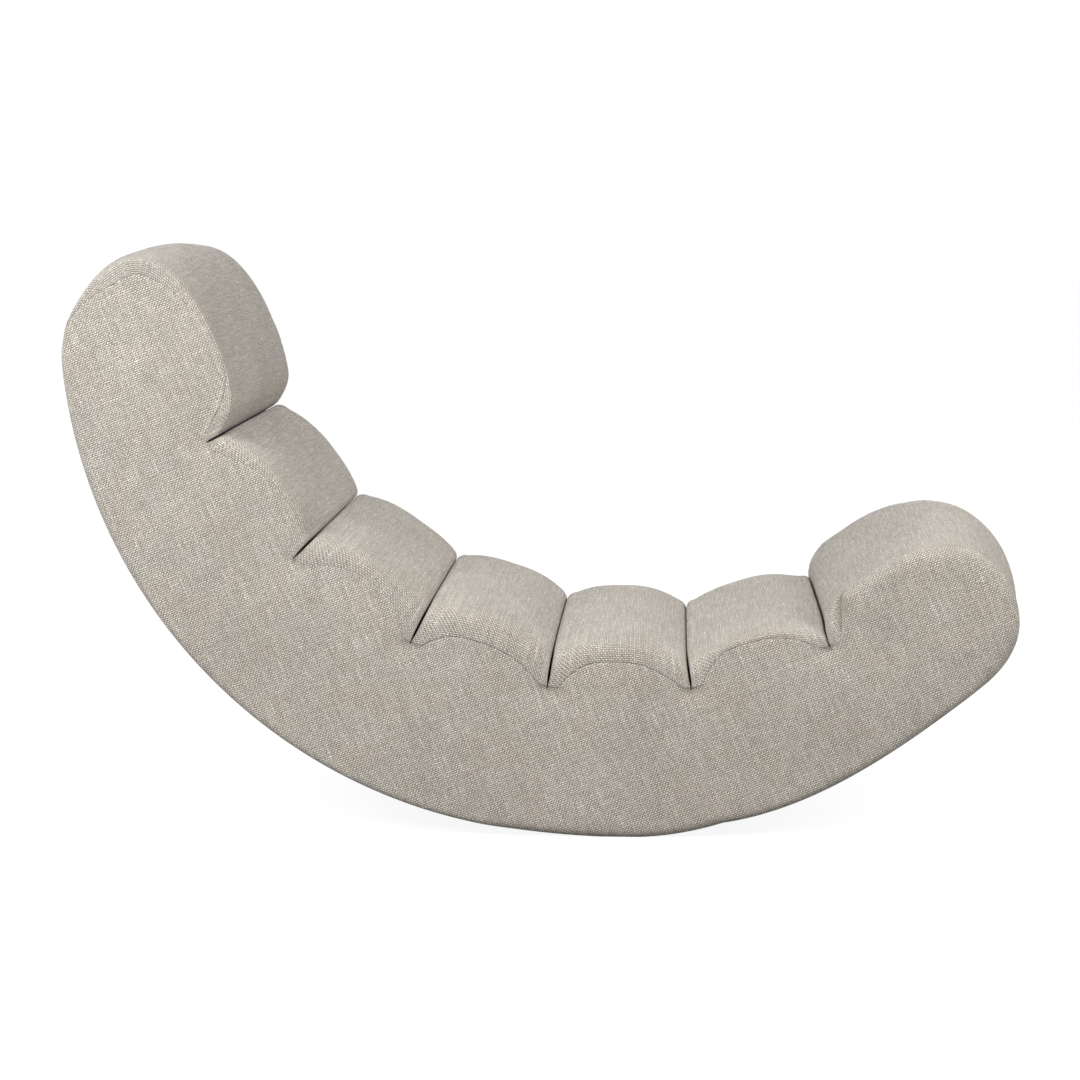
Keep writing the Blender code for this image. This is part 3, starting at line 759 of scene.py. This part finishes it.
def add_values(piece, name, values):
    attribute = piece.data.attributes.new(name, "FLOAT", "POINT")
    attribute.data.foreach_set("value", values.astype(np.float32).ravel())


def close_normals(piece):
    mesh = bmesh.new()
    mesh.from_mesh(piece.data)
    bmesh.ops.recalc_face_normals(mesh, faces=mesh.faces)
    mesh.to_mesh(piece.data)
    mesh.free()
    piece.data.set_sharp_from_angle(angle=SHARP_ANGLE)


def smooth_noise(positions, wavelength):
    # Random values at even steps along a line, joined by a smooth curve
    count = int(positions.max() / wavelength) + 3
    values = RANDOM.uniform(-1, 1, count)
    place = np.clip(positions / wavelength, 0, count - 2)
    index = place.astype(int)
    share = smoothstep(place - index)
    return values[index] * (1 - share) + values[index + 1] * share


def grid_normals(points):
    along = np.gradient(points, axis=0)
    across = np.gradient(points, axis=1)
    normals = np.cross(along, across)
    return normals / np.maximum(np.linalg.norm(normals, axis=2, keepdims=True), TINY_AREA)


def pucker(points, normals, along, seam, strength):
    wave = smooth_noise(along, PUCKER_PITCH)
    swing = strength * wave * smooth_noise(along + PUCKER_SHIFT, PUCKER_DRIFT)
    fade = np.exp(-seam / PUCKER_REACH) * (1 - np.exp(-seam / PUCKER_CLEAR))
    return points + normals * (swing[:, None] * fade)[..., None]


def ripples(roll, count, shown):
    # Strength of the puckers in each column
    ripple = np.full(count, ROLL_RIPPLES[roll - 1])
    if roll == 1:
        ripple *= rising(np.arange(count) / shown, *HEAD_RIPPLE_RISE)
    return ripple


def painted_slit_shade(roll, points, u, top):
    # Painted shade: how dark the cloth is painted in the slits and beside them, most of all near their ends
    ends = rising(np.abs(points[..., 1]) / HALF_WIDTH, *SLIT_END_RISE)
    reach = SLIT_SHADE * (SLIT_NARROW + (1 - SLIT_NARROW) * ends)
    before, after = (depth + (1 - depth) * ends for depth in SLIT_DEPTHS[roll - 1:roll + 1])
    shade = np.zeros(ends.shape)
    for has_slit, column, dark in ((roll > 1, top.start, before), (roll < ROLLS, top.stop - 1, after)):
        if has_slit:
            shade = np.maximum(shade, smoothstep(1 - np.abs(u - u[column])[:, None] / reach) * dark)
    shade[:top.start] = before[:top.start]
    shade[top.stop:] = after[top.stop:]
    return shade


def cushion(name, roll, shape, move, nodes):
    # A closed roll: the covered grid round its loop, a ledge behind the seams and an end at each side
    top = shape.top
    points = shape.points.copy()
    across = np.linalg.norm(np.diff(points, axis=1), axis=2)
    from_seam = np.hstack([np.zeros((len(points), 1)), np.cumsum(across, 1)])
    middle = points.shape[1] // 2
    u = length_along(points[:, middle])
    v = from_seam - from_seam[:, middle:middle + 1]
    seam = np.minimum(from_seam, from_seam[:, -1:] - from_seam)
    ripple = ripples(roll, len(points), top.stop)
    points[top] = pucker(points[top], grid_normals(points)[top], u[top], seam[top], ripple[top])
    if move is not None:
        ends = np.minimum(u[top] - u[top][0], u[top][-1] - u[top])
        move = move * smoothstep(ends / MOVE_FADE)[:, None, None]
        points[top] += move * smoothstep(seam[top, :, None] / MOVE_FADE)
    seam = seam + shape.veil[:, None]
    shade = painted_slit_shade(roll, points, u, top)
    ledges = [points[:, side].copy() for side in (0, -1)]
    for ledge in ledges:
        ledge[:, 1] -= np.sign(ledge[:, 1]) * LEDGE
    grid = np.hstack([ledges[0][:, None], points, ledges[1][:, None]])
    weave = np.stack([np.broadcast_to(u[:, None], v.shape), v, seam], 2)
    weave = np.pad(weave, ((0, 0), (1, 1), (0, 0)), mode="edge")
    index = np.arange(grid.shape[0] * grid.shape[1]).reshape(grid.shape[:2])
    faces = quads(index, np.roll(index, -1, 0)).tolist()
    for side in (0, -1):
        outline = [[(p[0], p[2], 0.0) for p in grid[:, side]]]
        faces += [[int(index[i, side]) for i in triangle] for triangle in tessellate_polygon(outline)]
    piece = make_piece(name, grid.reshape(-1, 3), faces, weave.reshape(-1, 3), nodes)
    # The slit attribute carries the shade painted into the slits
    add_values(piece, "slit", np.pad(shade, ((0, 0), (1, 1)), mode="edge"))
    on_top = np.zeros(index.shape)
    on_top[top, 1:-1] = smoothstep(seam[top] / TOP_REACH)
    add_values(piece, "top", on_top)
    close_normals(piece)


def seam_lines(rolls):
    # The seam of each roll in the side view, and how well all of them hide, at even steps
    lines = []
    veils = []
    for roll in rolls.values():
        line = roll.points[roll.top, 0][:, [0, 2]]
        lines.append(even(line, OUTLINE_STEP))
        veils.append(even(np.column_stack([line, roll.veil[roll.top]]), OUTLINE_STEP)[:, 2])
    return lines, join(*veils)


def panel_mesh(border, closed):
    # Points in a border and the triangles between them, with which points are on the border
    heads = np.roll(border, -1, 0) - np.roll(border, 1, 0)
    heads = heads / np.maximum(np.linalg.norm(heads, axis=1, keepdims=True), TINY)
    spots = [border]
    for ring in RINGS:
        some = border + inward(heads) * ring
        spots.append(some[nearest_on(some, closed)[0] > ring * RING_KEEP])
    low = border.min(0)
    high = border.max(0)
    xs = np.arange(low[0], high[0], FILL_STEP)
    zs = np.arange(low[1], high[1], FILL_STEP * FILL_ROW)
    grid = np.array([(x + (FILL_STEP / 2 if k % 2 else 0), z) for k, z in enumerate(zs) for x in xs])
    spots.append(grid[nearest_on(grid, closed)[0] > RINGS[-1] * FILL_CLEAR])
    count = len(border)
    edges = [(i, (i + 1) % count) for i in range(count)]
    found = delaunay_2d_cdt(join(*spots).tolist(), edges, [], INSIDE_ONLY, MERGE_LIMIT)
    on_border = np.array([any(i < count for i in sources) for sources in found[3]])
    used, corners = np.unique(join(*found[2]), return_inverse=True)
    return np.array(found[0])[used], corners.reshape(-1, 3).tolist(), on_border[used]


def panel_shape(rolls, tips):
    # The side panel, with its outer and inner half width at each point
    tops, seam_veils = seam_lines(rolls)
    seam_line = join(*tops)
    border = join(seam_line, even(UNDERSIDE, OUTLINE_STEP)[1:-1])
    closed = join(border, border[:1])
    flat, faces, on_border = panel_mesh(border, closed)
    from_seam, which = nearest_on(flat, seam_line)
    from_edge = nearest_on(flat, closed)[0]
    seam = from_seam + seam_veils[which]
    y = HALF_WIDTH - tuck(seam) - edge_drop(flat)
    y += PANEL_PUFF * (1 - np.exp(-(from_edge / PUFF_REACH) ** PUFF_POWER))
    # The panel stands up a little beside the front seam of the head
    head_count = len(tops[0])
    front = rising(which / head_count, *BEAD_RISE) * (which < head_count - BEAD_STOP)
    y += BEAD * front * np.exp(-((from_seam - BEAD_PLACE) / BEAD_WIDTH) ** 2)
    for tip in tips:
        away = np.linalg.norm(flat - tip, axis=1)
        y -= DIMPLE * np.exp(-(away / DIMPLE_REACH) ** 2) * (1 - np.exp(-from_seam / DIMPLE_CLEAR))
    back = np.minimum(PANEL_BACK, y - np.clip(from_edge / PANEL_TAPER, 0, 1) * PANEL_EDGE)
    # The cloth runs on over the rounded edges without a stretch
    step, radius, inside = rounding_near(flat)
    outward = -inward(headings_along(ROUNDED[:, :2]))[step]
    laid = flat + outward * (radius * (np.arcsin(inside) - inside))[:, None]
    u = laid[:, 0] * np.cos(GRAIN) + laid[:, 1] * np.sin(GRAIN)
    v = laid[:, 0] * np.sin(GRAIN) - laid[:, 1] * np.cos(GRAIN)
    return Panel(flat, faces, y, back, np.stack([u, v, seam], 1), on_border)


def side_panel(name, panel, side, nodes):
    # A closed panel whose outer and inner faces meet along the border
    flat = panel.flat
    free = ~panel.on_border
    outer = at_width(flat, side * panel.outer)
    inner = at_width(flat[free], side * panel.inner[free])
    inner_ids = np.arange(len(flat))
    inner_ids[free] = len(flat) + np.arange(free.sum())
    faces = panel.faces + [[int(inner_ids[i]) for i in reversed(face)] for face in panel.faces]
    weave = join(panel.weave, panel.weave[free])
    close_normals(make_piece(name, join(outer, inner), faces, weave, nodes))


def under_piece(name, line, rounding, nodes):
    # A thin closed pad under the chair, drawn in a little at its four edges
    line = even(line, UNDER_LINE_STEP)
    inwards = inward(headings_along(line))
    length = length_along(line)
    reach = HALF_WIDTH - rounding
    half = join(reach - UNDER_EDGE, np.linspace(reach - UNDER_EDGE[-1], 0, UNDER_STEPS + 1)[1:])
    y = join(-half, half[-2::-1])
    ends = np.minimum(length, length[-1] - length)
    tucks = tuck(reach - np.abs(y))[None] + tuck(ends)[:, None]
    outer = line[:, None] + inwards[:, None] * tucks[..., None]
    outer[..., 1] = np.maximum(outer[..., 1], 0.0)
    inner = np.broadcast_to((line + inwards * UNDER_THICKNESS)[:, None], outer.shape)
    widths = np.broadcast_to(y, tucks.shape)
    vertices = join(*[at_width(face, widths).reshape(-1, 3) for face in (outer, inner)])
    index = np.arange(tucks.size).reshape(tucks.shape)
    below = index + tucks.size
    faces = quads(index[:-1], index[1:]).tolist() + quads(below[:-1], below[1:])[:, ::-1].tolist()
    rim = join(index[:, 0], index[-1, 1:], index[-2::-1, -1], index[0, -2:0:-1])
    low = rim + tucks.size
    faces += np.stack([rim, low, np.roll(low, -1), np.roll(rim, -1)], -1).tolist()
    seam = np.minimum(reach - np.abs(y)[None], ends[:, None])
    weave = np.stack([np.broadcast_to(length[:, None], seam.shape), widths, seam], 2).reshape(-1, 3)
    close_normals(make_piece(name, vertices, faces, join(weave, weave), nodes))


# Materials

class Nodes:
    # Small helper to make and join the nodes of a shader tree
    def __init__(self, tree):
        self.tree = tree

    def put(self, socket, value):
        if isinstance(value, bpy.types.NodeSocket):
            self.tree.links.new(value, socket)
        else:
            socket.default_value = value

    def node(self, kind, *values, **settings):
        node = self.tree.nodes.new(kind)
        for name, setting in settings.items():
            setattr(node, name, setting)
        for socket, value in zip(node.inputs, values):
            self.put(socket, value)
        return node

    def math(self, operation, a, b=0.0, c=0.0):
        return self.node("ShaderNodeMath", a, b, c, operation=operation).outputs[0]

    def seen_directly(self, strength, otherwise=0.0):
        # A strength for rays from the camera, also by way of gloss or glass, and another for the rest
        path = self.node("ShaderNodeLightPath").outputs
        total = path["Is Camera Ray"]
        for other in ("Is Glossy Ray", "Is Transmission Ray"):
            total = self.math("MAXIMUM", total, path[other])
        return self.node("ShaderNodeMapRange", total, 0.0, 1.0, otherwise, strength).outputs[0]


class Paint(Nodes):
    # A material, and the patterns that it is made from
    def __init__(self, name):
        self.material = bpy.data.materials.new(name)
        self.material.use_nodes = True
        super().__init__(self.material.node_tree)
        self.shader = self.tree.nodes["Principled BSDF"]

    def set(self, name, value):
        self.put(self.shader.inputs[name], value)

    def times(self, a, b):
        return self.math("MULTIPLY", a, b)

    def times_plus(self, a, b, c):
        return self.math("MULTIPLY_ADD", a, b, c)

    def wave(self, value, pitch):
        return self.math("SINE", self.times(value, 2 * pi / pitch))

    def arch(self, share):
        return self.math("SINE", self.times(share, pi))

    def range(self, value, low, high, out_low=0.0, out_high=1.0):
        return self.node("ShaderNodeMapRange", value, low, high, out_low, out_high,
                         interpolation_type="SMOOTHSTEP").outputs[0]

    def vector(self, x, y, z=0.0):
        return self.node("ShaderNodeCombineXYZ", x, y, z).outputs[0]

    def noise(self, vector, scale, detail=2.0):
        node = self.node("ShaderNodeTexNoise", vector)
        node.inputs["Scale"].default_value = scale
        node.inputs["Detail"].default_value = detail
        return node.outputs["Fac"]

    def streaks(self, x, x_scale, y, y_scale, layer, detail=2.0):
        # Noise over a plane, with a scale of its own along each axis
        return self.noise(self.vector(self.times(x, x_scale), self.times(y, y_scale), layer), 1.0, detail)

    def mix(self, share, a, b):
        node = self.node("ShaderNodeMix", share, data_type="RGBA")
        for socket, value in ((node.inputs[6], a), (node.inputs[7], b)):
            self.put(socket, value if isinstance(value, bpy.types.NodeSocket) else (*value, 1.0))
        return node.outputs[2]

    def scaled(self, colour, factor):
        # A colour times a number or another colour
        return self.node("ShaderNodeVectorMath", colour, factor, operation="MULTIPLY").outputs[0]

    def attribute(self, name, output):
        return self.node("ShaderNodeAttribute", attribute_name=name).outputs[output]

    def place(self):
        return self.node("ShaderNodeTexCoord").outputs["Object"]

    def split(self, vector):
        return self.node("ShaderNodeSeparateXYZ", vector).outputs

    def finish(self, colour, roughness, height, depth, strength):
        self.set("Base Color", colour)
        self.set("Roughness", roughness)
        bump = self.node("ShaderNodeBump")
        bump.inputs["Strength"].default_value = strength
        bump.inputs["Distance"].default_value = depth
        self.put(bump.inputs["Height"], height)
        self.set("Normal", bump.outputs[0])
        return self.material


# Linen: pitches and tones of the yarns
WARP_PITCH = 0.0025
WEFT_PITCH = 0.0032
STITCH_PITCH = 0.0042
WARP_TONE = (0.67, 0.625, 0.555)
WEFT_TONE = (0.78, 0.735, 0.67)
GAP_TONE = (0.15, 0.13, 0.105)
SLUB_TONE = (0.92, 0.90, 0.86)
BROWN_TONE = (0.44, 0.395, 0.335)
ROSE_TONE = (1.015, 0.99, 0.98)
SAGE_TONE = (0.99, 1.002, 1.0)

# Linen: how far yarns wander and lean, in pitches, and scales of the noise
WANDER = 1.1
SKEW = 0.45
WARP_WANDER_SCALE = 45.0
WEFT_WANDER_SCALE = 70.0
YARN_STEP = 0.73
YARN_RUN = 22.0
YARN_DETAIL = 3.0
STREAK_STEP = 0.61
STREAK_RUN = 5.0
PALE_STEP = 0.93
PALE_RUN = 9.0
PATCH_SCALE = 17.0
BLOTCH_SCALE = 9.0
BLOTCH_DETAIL = 3.0
SEAM_SCALE = 11.0
ROUGH_SCALE = 30.0
FUZZ_SCALE = 2600.0

# Linen: ranges, as (low, high) of what comes in, and then of what goes out where that isn't (0, 1)
WARP_BROWNS = (0.38, 0.68)
WARP_SLUBS = (0.64, 0.74)
WEFT_DARKS = (0.28, 0.55)
WEFT_SLUBS = (0.62, 0.74)
YARN_EDGE = (0.16, 0.66)
STREAKS = (0.65, 1.35, 0.945, 1.055)
PALES = (0.35, 0.70, -0.07, 0.11)
PATCHES = (0.35, 0.65)
BLOTCHES = (0.25, 0.75, 0.95, 1.05)
SEAM_LINE = (0.0002, 0.0012, 1.0, 0.0)
SEAM_DARK = (0.35, 0.6, 0.15, 0.55)
LINEN_ROUGHNESS = (0.2, 0.8, 0.86, 0.97)
CROSSING_CHANGE = 0.24
STITCH_CHANGE = 0.25
# How dark the shade painted into the slits is
SLIT_PAINTED_SHADE = 0.88
FUZZ = 0.25
LINEN_DEPTH = 0.0007
LINEN_BUMP = 0.8


def linen():
    paint = Paint("oatmeal_linen_weave")
    u, v, seam = paint.split(paint.attribute("weave", "Vector"))
    place = paint.place()
    sway = paint.math("SUBTRACT", paint.noise(place, WARP_WANDER_SCALE), 0.5)
    drift = paint.math("SUBTRACT", paint.noise(place, WEFT_WANDER_SCALE), 0.5)
    warp = paint.times_plus(u, 1 / WARP_PITCH, paint.times(sway, WANDER))
    weft = paint.times_plus(v, 1 / WEFT_PITCH, paint.times(drift, WANDER))
    warp_index = paint.math("FLOOR", warp)
    weft_index = paint.math("FLOOR", weft)
    turn = paint.math("FLOORED_MODULO", paint.math("ADD", warp_index, weft_index), 2.0)
    height = weave_height(paint, paint.math("FRACT", warp), paint.math("FRACT", weft), turn)
    # Each yarn has its own tone, which changes slowly along it
    warp_yarn = paint.streaks(warp_index, YARN_STEP, v, YARN_RUN, layer=0.0, detail=YARN_DETAIL)
    weft_yarn = paint.streaks(u, YARN_RUN, weft_index, YARN_STEP, layer=5.0, detail=YARN_DETAIL)
    warp_tone = paint.mix(paint.range(warp_yarn, *WARP_BROWNS), BROWN_TONE, WARP_TONE)
    warp_tone = paint.mix(paint.range(warp_yarn, *WARP_SLUBS), warp_tone, SLUB_TONE)
    weft_tone = paint.mix(paint.range(weft_yarn, *WEFT_DARKS), WARP_TONE, WEFT_TONE)
    weft_tone = paint.mix(paint.range(weft_yarn, *WEFT_SLUBS), weft_tone, SLUB_TONE)
    colour = paint.mix(paint.range(height, *YARN_EDGE), GAP_TONE, paint.mix(turn, warp_tone, weft_tone))
    # Every crossing differs a little
    place_in_weave = paint.vector(warp_index, weft_index)
    crossing = paint.node("ShaderNodeTexWhiteNoise", place_in_weave, noise_dimensions="2D")
    change = paint.times_plus(crossing.outputs["Value"], CROSSING_CHANGE, 1 - CROSSING_CHANGE / 2)
    colour = paint.scaled(colour, change)
    # Some yarns stay darker or paler for a long way, most of all on top of the rolls
    warp_streak = paint.streaks(warp_index, STREAK_STEP, v, STREAK_RUN, layer=9.0)
    weft_streak = paint.streaks(u, STREAK_RUN, weft_index, STREAK_STEP, layer=3.0)
    colour = paint.scaled(colour, paint.range(paint.math("ADD", warp_streak, weft_streak), *STREAKS))
    pale = paint.range(paint.streaks(warp_index, PALE_STEP, v, PALE_RUN, layer=2.0), *PALES)
    pale = paint.times(pale, paint.attribute("top", "Fac"))
    colour = paint.scaled(colour, paint.math("ADD", pale, 1.0))
    # The cloth has faint patches
    patch = paint.range(paint.noise(place, PATCH_SCALE), *PATCHES)
    colour = paint.scaled(colour, paint.mix(patch, ROSE_TONE, SAGE_TONE))
    colour = paint.scaled(colour, paint.range(paint.noise(place, BLOTCH_SCALE, BLOTCH_DETAIL), *BLOTCHES))
    # A broken dark line follows the seams, and shade is painted into the slits
    dots = paint.times_plus(paint.wave(u, STITCH_PITCH), STITCH_CHANGE, 1 - STITCH_CHANGE)
    line = paint.times(paint.range(seam, *SEAM_LINE), dots)
    line = paint.times(line, paint.range(paint.noise(place, SEAM_SCALE), *SEAM_DARK))
    colour = paint.scaled(colour, paint.times_plus(line, -1.0, 1.0))
    colour = paint.scaled(colour, paint.times_plus(paint.attribute("slit", "Fac"), -SLIT_PAINTED_SHADE, 1.0))
    height = paint.times_plus(paint.noise(place, FUZZ_SCALE), FUZZ, height)
    paint.set("Sheen Weight", 0.12)
    paint.set("Sheen Roughness", 0.5)
    paint.set("Specular IOR Level", 0.25)
    roughness = paint.range(paint.noise(place, ROUGH_SCALE), *LINEN_ROUGHNESS)
    return paint.finish(colour, roughness, height, LINEN_DEPTH, LINEN_BUMP)


def weave_height(paint, across_warp, across_weft, turn):
    # Height of a plain weave, in which twisted yarn leans each float of the weft to one side
    lean = paint.times_plus(across_weft, SKEW, -0.5 * SKEW)
    leaning = paint.math("MAXIMUM", paint.arch(paint.math("ADD", across_warp, lean)), 0.0)
    warp_arch = paint.arch(across_warp)
    weft_arch = paint.arch(across_weft)
    warp_over = paint.times(warp_arch, paint.times_plus(weft_arch, 0.5, 0.5))
    weft_over = paint.times(weft_arch, paint.times_plus(leaning, 0.5, 0.5))
    swap = paint.node("ShaderNodeMix", turn)
    paint.put(swap.inputs[2], warp_over)
    paint.put(swap.inputs[3], weft_over)
    return swap.outputs[0]


# Wood, strap and metal inside
GRAIN_STRETCH = 0.06
RING_SCALE = 14.0
RING_WAVER = 60.0
FIBRE_SCALE = 420.0
FIBRE_SHARE = 0.5
RING_SHARE = 0.3
WOOD_DETAIL = 3.0
WOOD_TONES = (-0.2, 0.7)
WOOD_ROUGHNESS = (0.2, 0.8, 0.55, 0.75)
RIB_PITCH = 0.004
CORD_PITCH = 0.003
STRAP_DARK = (0.03, 0.03, 0.03)
STRAP_LIGHT = (0.10, 0.095, 0.09)
STRAP_ROUGHNESS = (-1.0, 1.0, 0.95, 0.8)
SCRATCH_STRETCH = (1.0, 0.05, 1.0)
SCRATCH_DETAIL = 4.0
SCRATCH_TONES = (0.3, 0.7)
SCRATCHES = (0.2, 0.8)
LESS_ROUGH = 0.1
MORE_ROUGH = 0.15


def wood(name, light, dark, grain_axis, ring):
    paint = Paint(name)
    stretch = [GRAIN_STRETCH if axis == grain_axis else 1.0 for axis in range(3)]
    base = paint.vector(*map(paint.times, paint.split(paint.place()), stretch))
    rings = paint.noise(base, RING_SCALE, WOOD_DETAIL)
    rings = paint.math("SINE", paint.times_plus(rings, ring, paint.noise(base, RING_WAVER)))
    fibre = paint.noise(base, FIBRE_SCALE, WOOD_DETAIL)
    tone = paint.times_plus(fibre, FIBRE_SHARE, paint.times(rings, RING_SHARE))
    colour = paint.mix(paint.range(tone, *WOOD_TONES), dark, light)
    return paint.finish(colour, paint.range(fibre, *WOOD_ROUGHNESS), fibre, depth=0.0003, strength=0.4)


def strap():
    paint = Paint("webbing_weave")
    x, y, z = paint.split(paint.place())
    height = paint.times(paint.wave(y, RIB_PITCH), paint.wave(paint.math("ADD", x, z), CORD_PITCH))
    colour = paint.mix(paint.range(height, -1.0, 1.0), STRAP_DARK, STRAP_LIGHT)
    return paint.finish(colour, paint.range(height, *STRAP_ROUGHNESS), height, depth=0.0005, strength=0.6)


def metal(name, light, dark, rough, scale):
    paint = Paint(name)
    stretched = paint.vector(*map(paint.times, paint.split(paint.place()), SCRATCH_STRETCH))
    scratch = paint.noise(stretched, scale, SCRATCH_DETAIL)
    colour = paint.mix(paint.range(scratch, *SCRATCH_TONES), dark, light)
    paint.set("Metallic", 1.0)
    roughness = paint.range(scratch, *SCRATCHES, rough - LESS_ROUGH, rough + MORE_ROUGH)
    return paint.finish(colour, roughness, scratch, depth=0.0002, strength=0.3)


LINEN = linen()
PLYWOOD = wood("plywood_grain", light=(0.66, 0.51, 0.33), dark=(0.48, 0.34, 0.20), grain_axis=0, ring=30.0)
PINE = wood("pine_grain", light=(0.76, 0.59, 0.37), dark=(0.60, 0.41, 0.22), grain_axis=1, ring=24.0)
STRAP = strap()
STEEL = metal("dark_steel_brushed", light=(0.2, 0.2, 0.21), dark=(0.1, 0.1, 0.11), rough=0.45, scale=300.0)
ZINC = metal("zinc_plate_worn", light=(0.68, 0.68, 0.66), dark=(0.48, 0.48, 0.47), rough=0.32, scale=700.0)

# The last entry that fits a node's name gives its finish
NODE_FINISHES = (("side_frame", PLYWOOD), ("board", PLYWOOD), ("head_board", PINE), ("foot_board", PINE),
                 ("rail", PINE), ("webbing", STRAP), ("counterweight", STEEL), ("weight_bolt", ZINC))
for node_name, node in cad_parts.items():
    for key, finish in NODE_FINISHES:
        if key in node_name:
            node.data.materials.clear()
            node.data.materials.append(finish)


# Build

def label(roll):
    return {1: "head", ROLLS: "foot"}.get(roll, f"roll_{roll}")


def cover_node(roll):
    return f"{label(roll)}_roll_cover" if roll in (1, ROLLS) else f"{label(roll)}_cover"


SHAPES = {roll: roll_grid(roll) for roll in range(1, ROLLS + 1)}
MOVES = relax({roll: shape.points[shape.top] for roll, shape in SHAPES.items()})

for roll, shape in SHAPES.items():
    covered = [cover_node(roll), f"{label(roll)}_core"]
    if roll > 1:
        covered.append(f"pull_strip_{roll - 1}")
    cushion(f"{label(roll)}_cushion", roll, shape, MOVES[roll], covered)

TIPS = [deck(slit, TOE_HEIGHT - SEAM_LIP) for slit in range(1, ROLLS)]
PANEL = panel_shape(SHAPES, TIPS)
for side, hand in ((-1, "right"), (1, "left")):
    side_panel(f"side_upholstery_{hand}", PANEL, side, [f"side_panel_{hand}", f"side_pad_{hand}"])
UNDER_PIECES = (("front", FRONT, FRONT_ROUND), ("sole", SOLE, SOLE_ROUND), ("back", BACK, BACK_ROUND))
for part, line, rounding in UNDER_PIECES:
    under_piece(f"{part}_upholstery", line, rounding, [f"{part}_cover", f"{part}_pad"])


# Studio

FLOOR_REACH = 30.0
FLOOR_TONE = (0.22, 0.22, 0.22, 1.0)
FLOOR_GLOW = 0.905
WHITE = (1.0, 1.0, 1.0, 1.0)
SKY_GLOW = 1.0
AMBIENT = 0.45
LENS = 100.0
SENSOR = 36.0
FARTHEST = 100.0
CAMERA_PLACE = (0.2078, -4.8767, 1.0021)
CAMERA_TILT = radians(6.7486)
CAMERA_TURN = radians(2.6534)


def floor():
    corners = [(x * FLOOR_REACH, y * FLOOR_REACH, 0) for x, y in ((-1, -1), (1, -1), (1, 1), (-1, 1))]
    piece = add_mesh("floor", corners, [(0, 1, 2, 3)])
    paint = Paint("floor_pale")
    paint.set("Base Color", FLOOR_TONE)
    paint.set("Roughness", 1.0)
    paint.set("Specular IOR Level", 0.0)
    paint.set("Emission Color", WHITE)
    paint.set("Emission Strength", paint.seen_directly(FLOOR_GLOW))
    piece.data.materials.append(paint.material)


def sky():
    world = bpy.data.worlds.new("studio")
    bpy.context.scene.world = world
    world.use_nodes = True
    nodes = Nodes(world.node_tree)
    back = nodes.tree.nodes["Background"]
    back.inputs["Color"].default_value = WHITE
    nodes.put(back.inputs["Strength"], nodes.seen_directly(SKY_GLOW, AMBIENT))


def softbox(name, place, aim, size, power, colour):
    light = bpy.data.lights.new(name, "AREA")
    light.shape = "SQUARE"
    light.size = size
    light.energy = power
    light.color = colour
    lamp = add_object(name, light)
    lamp.location = place
    lamp.rotation_euler = (Vector(place) - Vector(aim)).to_track_quat("Z", "Y").to_euler()


def camera():
    lens = bpy.data.cameras.new("camera")
    lens.lens = LENS
    lens.sensor_width = SENSOR
    lens.clip_end = FARTHEST
    eye = add_object("camera", lens)
    level = np.cos(CAMERA_TILT)
    forward = np.array([-np.sin(CAMERA_TURN) * level, np.cos(CAMERA_TURN) * level, -np.sin(CAMERA_TILT)])
    right = np.array([np.cos(CAMERA_TURN), np.sin(CAMERA_TURN), 0.0])
    up = np.cross(right, forward)
    placed = Matrix((right, up, -forward)).transposed().to_4x4()
    placed.translation = CAMERA_PLACE
    eye.matrix_world = placed
    bpy.context.scene.camera = eye


floor()
sky()
softbox("key", place=(-1.6, -2.15, 2), aim=(0, 0, 0.4), size=1.6, power=73.5, colour=(0.985, 0.995, 1.0))
softbox("fill", place=(2.3, -1.5, 1.8), aim=(0.2, 0.0, 0.4), size=1.4, power=42.0, colour=(1.0, 0.99, 0.975))
softbox("rear", place=(0.6, 2.6, 2.2), aim=(0.2, 0.0, 0.4), size=1.6, power=20.0, colour=(0.93, 0.97, 1.0))
camera()
bpy.context.scene.view_settings.view_transform = "Standard"
